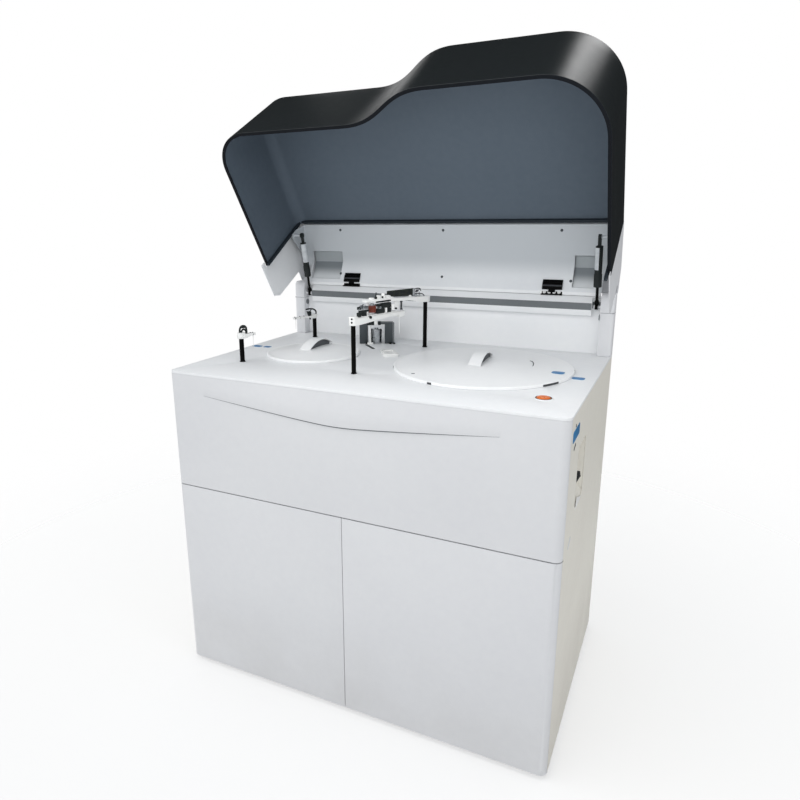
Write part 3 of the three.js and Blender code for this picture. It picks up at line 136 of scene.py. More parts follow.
def linear(red: float, green: float, blue: float) -> tuple[float, float, float, float]:
    """A screen colour of 0 to 255 as the scene's linear colour.

    Args:
        red: Red on the screen.
        green: Green on the screen.
        blue: Blue on the screen.

    Returns:
        The linear colour with full alpha.
    """
    shares = [value / 255 for value in (red, green, blue)]
    straight = [s / 12.92 if s <= 0.04045 else ((s + 0.055) / 1.055) ** 2.4 for s in shares]
    return straight[0], straight[1], straight[2], 1.0


def node(tree: bpy.types.NodeTree, kind: str, values: dict[str | int, object] | None = None,
         **settings: object) -> bpy.types.Node:
    """Adds a shader node.

    Args:
        tree: The node tree that it goes into.
        kind: Its type, without the leading ShaderNode.
        values: Its inputs' values by name or number.
        **settings: Its own settings.

    Returns:
        The new node.
    """
    made = tree.nodes.new(f"ShaderNode{kind}")
    for name, setting in settings.items():
        setattr(made, name, setting)
    for key, value in (values or {}).items():
        made.inputs[key].default_value = value
    return made


def wire(tree: bpy.types.NodeTree, *pairs: Wire) -> None:
    """Links outputs to inputs, pair by pair."""
    for output, target in pairs:
        tree.links.new(output, target)


class ShaderGroups:
    """Node groups for effects that several finishes share."""

    @staticmethod
    def start(name: str, given: dict[str, str], made: dict[str, str]) -> tuple[
            bpy.types.ShaderNodeTree, bpy.types.NodeOutputs, bpy.types.NodeInputs]:
        """Starts a group.

        Args:
            name: The group's name.
            given: Its inputs' names and kinds.
            made: Its outputs' names and kinds.

        Returns:
            The group, the sockets that bring its inputs in and those that take its outputs out.
        """
        group = bpy.data.node_groups.new(name, "ShaderNodeTree")
        for side, sockets in (("INPUT", given), ("OUTPUT", made)):
            for socket, kind in sockets.items():
                group.interface.new_socket(socket, in_out=side, socket_type=f"NodeSocket{kind}")
        given_node = group.nodes.new("NodeGroupInput")
        made_node = group.nodes.new("NodeGroupOutput")
        return group, given_node.outputs, made_node.inputs

    @classmethod
    def soft_variation(cls) -> bpy.types.ShaderNodeTree:
        """Slow cloudy change between two colours, with a mask for the roughness."""
        if "soft_variation" in bpy.data.node_groups:
            return bpy.data.node_groups["soft_variation"]
        group, given, made = cls.start(
            "soft_variation",
            {"Vector": "Vector", "Light": "Color", "Dark": "Color", "Scale": "Float",
             "Fine": "Float"},
            {"Colour": "Color", "Mask": "Float"})
        cloud = node(group, "TexNoise", {"Detail": 3.0, "Roughness": 0.55})
        speck = node(group, "TexNoise", {"Detail": 2.0})
        blend = node(group, "Math", {1: 0.35}, operation="MULTIPLY_ADD")
        spread = node(group, "MapRange", {"From Min": 0.45, "From Max": 0.9})
        mix = node(group, "Mix", data_type="RGBA")
        wire(group,
             (given["Vector"], cloud.inputs["Vector"]), (given["Scale"], cloud.inputs["Scale"]),
             (given["Vector"], speck.inputs["Vector"]), (given["Fine"], speck.inputs["Scale"]),
             (speck.outputs["Fac"], blend.inputs[0]), (cloud.outputs["Fac"], blend.inputs[2]),
             (blend.outputs["Value"], spread.inputs["Value"]),
             (spread.outputs["Result"], mix.inputs["Factor"]),
             (given["Light"], mix.inputs["A"]), (given["Dark"], mix.inputs["B"]),
             (mix.outputs["Result"], made["Colour"]), (spread.outputs["Result"], made["Mask"]))
        return group

    @classmethod
    def paint_grain(cls) -> bpy.types.ShaderNodeTree:
        """The fine dimples of sprayed paint and moulded plastic."""
        if "paint_grain" in bpy.data.node_groups:
            return bpy.data.node_groups["paint_grain"]
        group, given, made = cls.start(
            "paint_grain", {"Vector": "Vector", "Scale": "Float"}, {"Height": "Float"})
        dimple = node(group, "TexNoise", {"Detail": 4.0, "Roughness": 0.6})
        wire(group,
             (given["Vector"], dimple.inputs["Vector"]), (given["Scale"], dimple.inputs["Scale"]),
             (dimple.outputs["Fac"], made["Height"]))
        return group

    @classmethod
    def foot_dust(cls) -> bpy.types.ShaderNodeTree:
        """Dust that gathers low on the cabinet and thins out upwards."""
        if "foot_dust" in bpy.data.node_groups:
            return bpy.data.node_groups["foot_dust"]
        group, given, made = cls.start(
            "foot_dust", {"Vector": "Vector", "Reach": "Float", "Strength": "Float"},
            {"Mask": "Float"})
        parts = node(group, "SeparateXYZ")
        ramp = node(group, "MapRange", {"From Min": 0.0, "To Min": 1.0, "To Max": 0.0},
                    interpolation_type="SMOOTHSTEP")
        patchy = node(group, "TexNoise", {"Scale": 9.0, "Detail": 4.0})
        soften = node(group, "Math", operation="MULTIPLY")
        scale = node(group, "Math", operation="MULTIPLY")
        wire(group,
             (given["Vector"], parts.inputs["Vector"]), (parts.outputs["Z"], ramp.inputs["Value"]),
             (given["Reach"], ramp.inputs["From Max"]), (given["Vector"], patchy.inputs["Vector"]),
             (ramp.outputs["Result"], soften.inputs[0]), (patchy.outputs["Fac"], soften.inputs[1]),
             (soften.outputs["Value"], scale.inputs[0]), (given["Strength"], scale.inputs[1]),
             (scale.outputs["Value"], made["Mask"]))
        return group


DUST_COLOUR: Colour = (150, 145, 136)
DUST_REACH = 0.35


@dataclass(frozen=True)
class Finish:
    """A painted, moulded or metal finish.

    Attributes:
        name: The material's name.
        slot: The record's material slot that it belongs to.
        light: Screen colour of the clean surface.
        dark: Screen colour of its duller clouds.
        roughness: Lowest and highest roughness across the surface.
        metallic: 1 for bare metal and 0 for paint and plastic.
        cloud: How many clouds of variation there are in a metre.
        fine: How many fine specks there are in a metre.
        grain: Depth of the surface's dimples in metres.
        grain_scale: How many dimples there are in a metre.
        specular: The shader's specular level.
        dust: How strongly dust shows low down.
        fade: Screen colour that the surface turns to with height, if it fades, as painted shade.
        fade_from: The height in metres where the fade starts.
        fade_to: The height in metres where the fade is whole.
    """

    name: str
    slot: str
    light: Colour
    dark: Colour
    roughness: tuple[float, float] = (0.4, 0.5)
    metallic: float = 0.0
    cloud: float = 3.0
    fine: float = 60.0
    grain: float = 0.00004
    grain_scale: float = 900.0
    specular: float = 0.5
    dust: float = 0.0
    fade: Colour | None = None
    fade_from: float = 0.0
    fade_to: float = 1.0

    def material(self) -> bpy.types.Material:
        """Builds the material once and returns it after that.

        Returns:
            The node material for this finish.
        """
        made = bpy.data.materials.get(self.name)
        if made:
            return made
        material = bpy.data.materials.new(self.name)
        material.use_nodes = True
        tree = material.node_tree
        shader = tree.nodes["Principled BSDF"]
        place = node(tree, "TexCoord").outputs["Object"]
        clouds = node(tree, "Group", node_tree=ShaderGroups.soft_variation())
        for name, value in (("Light", linear(*self.light)), ("Dark", linear(*self.dark)),
                            ("Scale", self.cloud), ("Fine", self.fine)):
            clouds.inputs[name].default_value = value
        low, high = self.roughness
        rough = node(tree, "MapRange", {"To Min": low, "To Max": high})
        grain = node(tree, "Group", node_tree=ShaderGroups.paint_grain())
        grain.inputs["Scale"].default_value = self.grain_scale
        bump = node(tree, "Bump", {"Strength": 0.35, "Distance": self.grain})
        wire(tree,
             (place, clouds.inputs["Vector"]), (clouds.outputs["Mask"], rough.inputs["Value"]),
             (rough.outputs["Result"], shader.inputs["Roughness"]), (place, grain.inputs["Vector"]),
             (grain.outputs["Height"], bump.inputs["Height"]),
             (bump.outputs["Normal"], shader.inputs["Normal"]))
        colour = clouds.outputs["Colour"]
        if self.dust:
            dust = node(tree, "Group", node_tree=ShaderGroups.foot_dust())
            dust.inputs["Reach"].default_value = DUST_REACH
            dust.inputs["Strength"].default_value = self.dust
            wire(tree, (place, dust.inputs["Vector"]))
            colour = self.towards(tree, colour, dust.outputs["Mask"], DUST_COLOUR)
        if self.fade:
            height = node(tree, "SeparateXYZ")
            ramp = node(tree, "MapRange", {"From Min": self.fade_from, "From Max": self.fade_to},
                        interpolation_type="SMOOTHSTEP")
            wire(tree, (place, height.inputs["Vector"]),
                 (height.outputs["Z"], ramp.inputs["Value"]))
            colour = self.towards(tree, colour, ramp.outputs["Result"], self.fade)
        wire(tree, (colour, shader.inputs["Base Color"]))
        shader.inputs["Metallic"].default_value = self.metallic
        shader.inputs["Specular IOR Level"].default_value = self.specular
        return material

    @staticmethod
    def towards(tree: bpy.types.NodeTree, colour: bpy.types.NodeSocket, mask: bpy.types.NodeSocket,
                other: Colour) -> bpy.types.NodeSocket:
        """Mixes a colour towards another one where a mask says so, and returns the result."""
        mix = node(tree, "Mix", data_type="RGBA")
        mix.inputs["B"].default_value = linear(*other)
        wire(tree, (mask, mix.inputs["Factor"]), (colour, mix.inputs["A"]))
        return mix.outputs["Result"]


WHITE_PAINT = Finish("white_paint", "white_panel", (220, 221, 223), (214, 215, 218),
                     roughness=(0.42, 0.5), cloud=1.7, dust=0.25)
# The front's white paint, tinted warm as painted light for the warm light on the side and rear
# panels and the switch recess; the dust low down is real dust.
SIDE_PAINT_WARM_LIT = Finish("side_paint_warm_lit", "side_panel", (230, 227, 217), (222, 218, 209),
                    roughness=(0.45, 0.55), cloud=2.2, dust=0.3)
DECK_PAINT = Finish("deck_paint", "deck", (238, 239, 240), (232, 234, 236), roughness=(0.4, 0.5))
COVER_PAINT = Finish("cover_paint", "deck", (244, 245, 245), (239, 240, 241),
                     roughness=(0.32, 0.42))
WALL_PAINT = Finish("wall_paint", "liner", (242, 243, 244), (236, 238, 240), roughness=(0.45, 0.55))
# The liner's white, turning greyer with height as painted shade on its upper panel.
LINER_PAINT_SHADED_TOP = Finish("liner_paint", "liner", (232, 235, 237), (225, 228, 231),
                     roughness=(0.45, 0.55), fade=(190, 195, 199), fade_from=1.10, fade_to=1.165)
# Plain grey for the ledge's lip strip, the seams and the plugs; under the brow it is a painted
# shadow, and on the wash station's cheek it is painted light.
LIP_GREY = Finish("lip_grey", "liner", (112, 117, 120), (105, 110, 113), roughness=(0.5, 0.6))
HANDLE_SHADE = Finish("handle_shade", "black_plastic", (92, 95, 98), (80, 83, 86),
                      roughness=(0.6, 0.7), specular=0.2)
HOOD_BLACK = Finish("hood_black", "hood", (31, 36, 38), (26, 31, 33), roughness=(0.3, 0.38),
                    cloud=2.5, grain=0.00002, specular=0.45)
HOOD_INSIDE = Finish("hood_inside", "hood", (88, 99, 110), (82, 93, 104), roughness=(0.6, 0.7),
                     cloud=1.4, specular=0.3)
HOOD_RIM = Finish("hood_rim", "trim", (14, 18, 23), (11, 14, 19), roughness=(0.6, 0.7),
                  specular=0.15)
TRIM_RUBBER = Finish("trim_rubber", "trim", (36, 44, 51), (31, 38, 45), roughness=(0.6, 0.7),
                     specular=0.3)
BLACK_METAL = Finish("black_metal", "black_metal", (9, 10, 11), (6, 6, 7),
                     roughness=(0.35, 0.5), cloud=14, grain=0.00003)
BLACK_PLASTIC = Finish("black_plastic", "black_plastic", (13, 14, 15), (9, 9, 10),
                       roughness=(0.4, 0.55), cloud=10)
ARM_WHITE = Finish("arm_white", "arm_cover", (238, 238, 236), (229, 230, 229),
                   roughness=(0.25, 0.35), cloud=9)
BRIGHT_STEEL = Finish("bright_steel", "bright_metal", (196, 199, 202), (176, 180, 184),
                      roughness=(0.22, 0.36), metallic=1.0, cloud=25)
GREY_METAL = Finish("grey_metal", "grey_metal", (116, 118, 120), (92, 94, 97),
                    roughness=(0.4, 0.55), metallic=0.15, cloud=18)
TUB_PLASTIC = Finish("tub_plastic", "tub", (66, 73, 79), (56, 62, 68), roughness=(0.45, 0.6))
DISK_PLASTIC = Finish("disk_plastic", "turntable", (58, 104, 134), (47, 90, 118),
                      roughness=(0.35, 0.45), cloud=8)
TANK_PLASTIC = Finish("tank_plastic", "tank", (220, 226, 228), (205, 213, 216),
                      roughness=(0.3, 0.42), cloud=6)
SUPPLY_STEEL = Finish("supply_steel", "supply_case", (160, 164, 168), (143, 147, 151),
                      roughness=(0.4, 0.55), metallic=0.8, cloud=22)
PAN_STEEL = Finish("pan_steel", "frame_steel", (158, 162, 166), (139, 143, 148),
                   roughness=(0.42, 0.58), metallic=0.7, cloud=20)
BUTTON_ORANGE = Finish("button_orange", "button", (224, 116, 44), (212, 100, 32),
                       roughness=(0.25, 0.35), cloud=30)
BUTTON_RING = Finish("button_ring", "black_plastic", (92, 58, 40), (70, 44, 30),
                     roughness=(0.35, 0.45), cloud=30)
TAB_BLUE = Finish("tab_blue", "button", (58, 132, 186), (44, 116, 170), roughness=(0.35, 0.5),
                  cloud=40)
COIL_BROWN = Finish("coil_brown", "bright_metal", (122, 62, 50), (96, 44, 34),
                    roughness=(0.2, 0.35), cloud=90)
BOARD_GREEN = Finish("board_green", "black_plastic", (28, 40, 30), (15, 22, 16),
                     roughness=(0.35, 0.5), cloud=70, fine=500)
STRUT_LABEL = Finish("strut_label", "bright_metal", (206, 210, 213), (184, 189, 193),
                     roughness=(0.35, 0.5), cloud=60)
# Painted shade on the backs of the liner's notches: the upper panel a plain darker grey, the lower
# one darkening towards its top.
POCKET_UPPER_SHADE = Finish("pocket_upper_shade", "liner", (163, 169, 172), (155, 161, 164),
                      roughness=(0.5, 0.6), specular=0.3)
POCKET_LOWER_SHADE = Finish("pocket_lower_shade", "liner", (222, 225, 227), (214, 218, 220),
                      roughness=(0.5, 0.6), specular=0.3, fade=(128, 134, 138), fade_from=1.085,
                      fade_to=1.125)
SLOT_DARK = Finish("slot_dark", "black_plastic", (62, 64, 68), (50, 52, 56), roughness=(0.6, 0.7))


# ----------------------------------------------------------------------------------------------
# Modelling moves


class Bench:
    """Modelling moves that every sub-assembly shares. Each leaves its object active, unsettled."""

    @staticmethod
    def clear() -> None:
        """Leaves object mode with nothing selected."""
        if bpy.context.mode != "OBJECT":
            bpy.ops.object.mode_set(mode="OBJECT")
        bpy.ops.object.select_all(action="DESELECT")

    @staticmethod
    def pick(*objects: bpy.types.Object) -> None:
        """Selects these objects alone and makes the first one active."""
        Bench.clear()
        for piece in objects:
            piece.select_set(True)
        bpy.context.view_layer.objects.active = objects[0]

    @staticmethod
    def straighten(piece: bpy.types.Object) -> None:
        """Turns all of a closed shape's faces outwards."""
        Bench.pick(piece)
        bpy.ops.object.mode_set(mode="EDIT")
        bpy.ops.mesh.select_all(action="SELECT")
        bpy.ops.mesh.normals_make_consistent(inside=False)
        bpy.ops.object.mode_set(mode="OBJECT")

    @staticmethod
    def soften(piece: bpy.types.Object, width: float, steps: int = 2, degrees: float = 30) -> None:
        """Rounds the sharp edges with a bevel that is applied.

        Args:
            piece: The object to round.
            width: The bevel's width in the object's own units.
            steps: Segments across the bevel.
            degrees: Edges that bend more than this are rounded.
        """
        Bench.pick(piece)
        bevel = piece.modifiers.new("soft_edges", "BEVEL")
        bevel.width = width
        bevel.segments = steps
        bevel.limit_method = "ANGLE"
        bevel.angle_limit = math.radians(degrees)
        bevel.use_clamp_overlap = True
        bpy.ops.object.modifier_apply(modifier=bevel.name)

    @staticmethod
    def block(low: Point, high: Point, edge: float = 0.0, steps: int = 2) -> bpy.types.Object:
        """A block between two corners, with rounded edges.

        Args:
            low: Its lowest corner.
            high: Its highest corner.
            edge: The edges' radius, or 0 to leave them sharp.
            steps: Segments across each edge.

        Returns:
            The new object.
        """
        Bench.clear()
        centre = [(a + b) / 2 for a, b in zip(low, high)]
        bpy.ops.mesh.primitive_cube_add(size=1, location=centre)
        piece = bpy.context.object
        piece.scale = [b - a for a, b in zip(low, high)]
        bpy.ops.object.transform_apply(location=True, rotation=True, scale=True)
        if edge:
            Bench.soften(piece, edge, steps)
        return piece

    @staticmethod
    def prism(outline: Sequence[Flat], low: float, high: float, edge: float = 0.0,
              steps: int = 2) -> bpy.types.Object:
        """A flat outline raised along z.

        Args:
            outline: The outline's corners in order.
            low: The lower face's height.
            high: The upper face's height.
            edge: The edges' radius, or 0 to leave them sharp.
            steps: Segments across each edge.

        Returns:
            The new object.
        """
        Bench.clear()
        bpy.ops.mesh.primitive_circle_add(vertices=len(outline), radius=1, fill_type="NGON",
                                          location=(0, 0, 0))
        piece = bpy.context.object
        for vertex, (x, y) in zip(piece.data.vertices, outline):
            vertex.co = (x, y, low)
        bpy.ops.object.mode_set(mode="EDIT")
        bpy.ops.mesh.select_all(action="SELECT")
        bpy.ops.mesh.extrude_region_move(TRANSFORM_OT_translate={"value": (0, 0, high - low)})
        bpy.ops.object.mode_set(mode="OBJECT")
        Bench.straighten(piece)
        if edge:
            Bench.soften(piece, edge, steps)
        return piece

    @staticmethod
    def loft(sections: Sequence[Sequence[Point]], ring: bool = True,
             loop: bool = False) -> bpy.types.Object:
        """A skin through sections that have the same number of points.

        Args:
            sections: The sections in order.
            ring: Whether each section closes on itself.
            loop: Whether the last section joins the first.

        Returns:
            The new object, capped at its ends unless it loops.
        """
        rows = [list(section) + [section[0]] if ring else list(section) for section in sections]
        if loop:
            rows.append(rows[0])
        Bench.clear()
        bpy.ops.mesh.primitive_grid_add(x_subdivisions=len(rows[0]) - 1,
                                        y_subdivisions=len(rows) - 1, size=1, location=(0, 0, 0))
        piece = bpy.context.object
        flat = [point for row in rows for point in row]
        for vertex, point in zip(piece.data.vertices, flat):
            vertex.co = point
        bpy.ops.object.mode_set(mode="EDIT")
        bpy.ops.mesh.select_all(action="SELECT")
        bpy.ops.mesh.remove_doubles(threshold=WELD)
        bpy.ops.mesh.select_all(action="SELECT")
        if ring and not loop:
            bpy.ops.mesh.fill_holes(sides=0)
            bpy.ops.mesh.select_all(action="SELECT")
        bpy.ops.mesh.normals_make_consistent(inside=False)
        bpy.ops.object.mode_set(mode="OBJECT")
        return piece

    @staticmethod
    def turned(profile: Sequence[Flat], sides: int = 48, centre: Flat = (0, 0),
               loop: bool = False) -> bpy.types.Object:
        """A turned shape about an upright axis.

        Args:
            profile: Radius and height pairs.
            sides: Points round the axis.
            centre: Where the axis stands.
            loop: Whether the profile closes on itself, for a ring.

        Returns:
            The new object.
        """
        turns = [2 * math.pi * i / sides for i in range(sides)]
        sections = [
            [(centre[0] + r * math.cos(t), centre[1] + r * math.sin(t), z) for t in turns]
            for r, z in profile
        ]
        return Bench.loft(sections, loop=loop)

    @staticmethod
    def tube(path: Sequence[Point], radius: float) -> bpy.types.Object:
        """A round bar bent smoothly through the points of its centre line, as a mesh."""
        Bench.clear()
        bpy.ops.curve.primitive_bezier_curve_add(location=(0, 0, 0))
        piece = bpy.context.object
        piece.data.dimensions = "3D"
        knots = piece.data.splines[0].bezier_points
        knots.add(len(path) - 2)
        for knot, point in zip(knots, path):
            knot.co = point
        for knot in knots:
            knot.handle_left_type = knot.handle_right_type = "AUTO"
        piece.data.resolution_u = 5
        piece.data.bevel_depth = radius
        piece.data.bevel_resolution = 3
        piece.data.use_fill_caps = True
        bpy.ops.object.convert(target="MESH")
        return bpy.context.object

    @staticmethod
    def bar(start: Point, end: Point, radius: float) -> bpy.types.Object:
        """A straight round bar between two points."""
        run = Vector(end) - Vector(start)
        piece = Bench.turned([(radius, 0), (radius, run.length)], sides=24)
        aim = run.to_track_quat("Z", "Y").to_matrix().to_4x4()
        return Bench.turn(piece, Matrix.Translation(start) @ aim)

    @staticmethod
    def turn(piece: bpy.types.Object, matrix: Matrix) -> bpy.types.Object:
        """Moves a piece's mesh by a matrix and returns the piece."""
        piece.data.transform(matrix)
        piece.data.update()
        return piece

    @staticmethod
    def copy(piece: bpy.types.Object, matrix: Matrix) -> bpy.types.Object:
        """A copy of a piece with its own mesh, moved by a matrix."""
        Bench.pick(piece)
        bpy.ops.object.duplicate(linked=False)
        return Bench.turn(bpy.context.object, matrix)

    @staticmethod
    def join(pieces: Sequence[bpy.types.Object]) -> bpy.types.Object:
        """One object made of several."""
        Bench.pick(*pieces)
        if len(pieces) > 1:
            bpy.ops.object.join()
        return bpy.context.object

    @staticmethod
    def carve(piece: bpy.types.Object, cutter: bpy.types.Object,
              keep_paint: bool = False) -> bpy.types.Object:
        """Takes the cutter's shape out of a piece, and the cutter out of the scene.

        Args:
            piece: The piece.
            cutter: The shape to take out.
            keep_paint: Whether the new faces keep the cutter's finish.

        Returns:
            The piece.
        """
        Bench.pick(piece)
        hollow = piece.modifiers.new("hollow", "BOOLEAN")
        hollow.operation = "DIFFERENCE"
        hollow.solver = "EXACT"
        if keep_paint:
            hollow.material_mode = "TRANSFER"
        hollow.object = cutter
        bpy.ops.object.modifier_apply(modifier=hollow.name)
        bpy.data.objects.remove(cutter, do_unlink=True)
        return piece

    @staticmethod
    def paint(piece: bpy.types.Object, finish: Finish) -> bpy.types.Object:
        """Gives a whole piece one finish and returns the piece."""
        piece.data.materials.clear()
        piece.data.materials.append(finish.material())
        return piece

    @staticmethod
    def settle(piece: bpy.types.Object, name: str, body: str, matrix: Matrix, slot: str,
               stands_for: Iterable[str] = (), smooth: float = 30) -> bpy.types.Object:
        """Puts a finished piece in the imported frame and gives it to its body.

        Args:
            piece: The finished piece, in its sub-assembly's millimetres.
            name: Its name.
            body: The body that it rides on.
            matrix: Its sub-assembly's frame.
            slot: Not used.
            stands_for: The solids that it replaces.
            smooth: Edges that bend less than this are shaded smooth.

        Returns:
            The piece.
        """
        Bench.pick(piece)
        bpy.ops.object.transform_apply(location=True, rotation=True, scale=True)
        Bench.turn(piece, matrix)
        piece.name = name
        piece.data.name = name
        bpy.ops.object.shade_smooth_by_angle(angle=math.radians(smooth))
        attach(piece, str(body))
        if stands_for:
            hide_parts(*map(str, stands_for))
        log.info("%s on %s, %d faces", name, body, len(piece.data.polygons))
        return piece

    @staticmethod
    def mount(piece: bpy.types.Object, finish: Finish, name: str, body: str = Body.CABINET,
              matrix: Matrix | None = None, slot: str = "", stands_for: Iterable[str] = (),
              smooth: float = 30) -> bpy.types.Object:
        """Paints a whole piece and settles it, on the cabinet where nothing else is said.

        Args:
            piece: The finished piece, in its sub-assembly's millimetres.
            finish: What it is painted with.
            name: Its name.
            body: The body that it rides on.
            matrix: Its sub-assembly's frame, if that isn't the cabinet's.
            slot: Its material slot, if that isn't its finish's.
            stands_for: The solids that it replaces.
            smooth: Edges that bend less than this are shaded smooth.

        Returns:
            The piece.
        """
        Bench.paint(piece, finish)
        return Bench.settle(piece, name, body, cabinet_frame() if matrix is None else matrix,
                            slot or finish.slot, stands_for, smooth)

    @staticmethod
    def refine(solid: str, finish: Finish, body: str = Body.CABINET, width: float = 0.0,
               steps: int = 2, smooth: float = 32, bend: float = 34) -> bpy.types.Object:
        """A welded copy of a solid with soft edges, which stands for the solid.

        Args:
            solid: The solid's name.
            finish: What it is painted with.
            body: The body that it rides on.
            width: The edges' radius in millimetres.
            steps: Segments across each edge.
            smooth: Edges that bend less than this are shaded smooth.
            bend: Edges that bend more than this are rounded.

        Returns:
            The copy.
        """
        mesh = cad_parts[solid].data.copy()
        piece = bpy.data.objects.new(f"{solid}_skin", mesh)
        bpy.context.scene.collection.objects.link(piece)
        Bench.pick(piece)
        bpy.ops.object.mode_set(mode="EDIT")
        bpy.ops.mesh.select_all(action="SELECT")
        bpy.ops.mesh.remove_doubles(threshold=WELD * MM)
        bpy.ops.mesh.dissolve_limited(angle_limit=math.radians(0.4))
        bpy.ops.object.mode_set(mode="OBJECT")
        if width:
            Bench.soften(piece, width * MM, steps, bend)
        return Bench.mount(piece, finish, f"{solid}_skin", body, Matrix.Identity(4),
                           stands_for=[solid], smooth=smooth)

    @staticmethod
    def dress(solid: str, finish: Finish) -> None:
        """Gives a solid that stays as it is its material."""
        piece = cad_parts[solid]
        for entry in piece.material_slots:
            entry.material = finish.material()
        if not piece.material_slots:
            piece.data.materials.append(finish.material())


def arc(x: float, y: float, radius: float, start: float, end: float, steps: int) -> list[Flat]:
    """Points on an arc, with its angles in degrees."""
    turns = [math.radians(start + (end - start) * i / steps) for i in range(steps + 1)]
    return [(x + radius * math.cos(t), y + radius * math.sin(t)) for t in turns]


def rounded(low: Flat, high: Flat, radius: float, steps: int = 6) -> list[Flat]:
    """A rectangle's outline with rounded corners."""
    left, bottom = low
    right, top = high
    return [
        *arc(right - radius, top - radius, radius, 0, 90, steps),
        *arc(left + radius, top - radius, radius, 90, 180, steps),
        *arc(left + radius, bottom + radius, radius, 180, 270, steps),
        *arc(right - radius, bottom + radius, radius, 270, 360, steps),
    ]


def screw(radius: float = 3.4, height: float = 1.8) -> bpy.types.Object:
    """A domed screw head with a socket, standing on z = 0."""
    dome = [(radius * math.cos(math.radians(a)), height * math.sin(math.radians(a)))
            for a in range(0, 61, 15)]
    socket = radius * 0.42
    profile = [(radius, -0.3), *dome, (socket, height * 0.9), (socket, height * 0.3)]
    return Bench.turned(profile, sides=20)


def screws(places: Sequence[Point], toward: Matrix, radius: float = 3.4,
           height: float = 1.8) -> bpy.types.Object:
    """Several screw heads as one object.

    Args:
        places: Where each head stands.
        toward: The turn from z to the direction that the heads face.
        radius: The heads' radius.
        height: The heads' height.

    Returns:
        The joined heads.
    """
    first = screw(radius, height)
    heads = [Bench.copy(first, Matrix.Translation(place) @ toward) for place in places]
    bpy.data.objects.remove(first, do_unlink=True)
    return Bench.join(heads)


# ----------------------------------------------------------------------------------------------
# Sub-assemblies


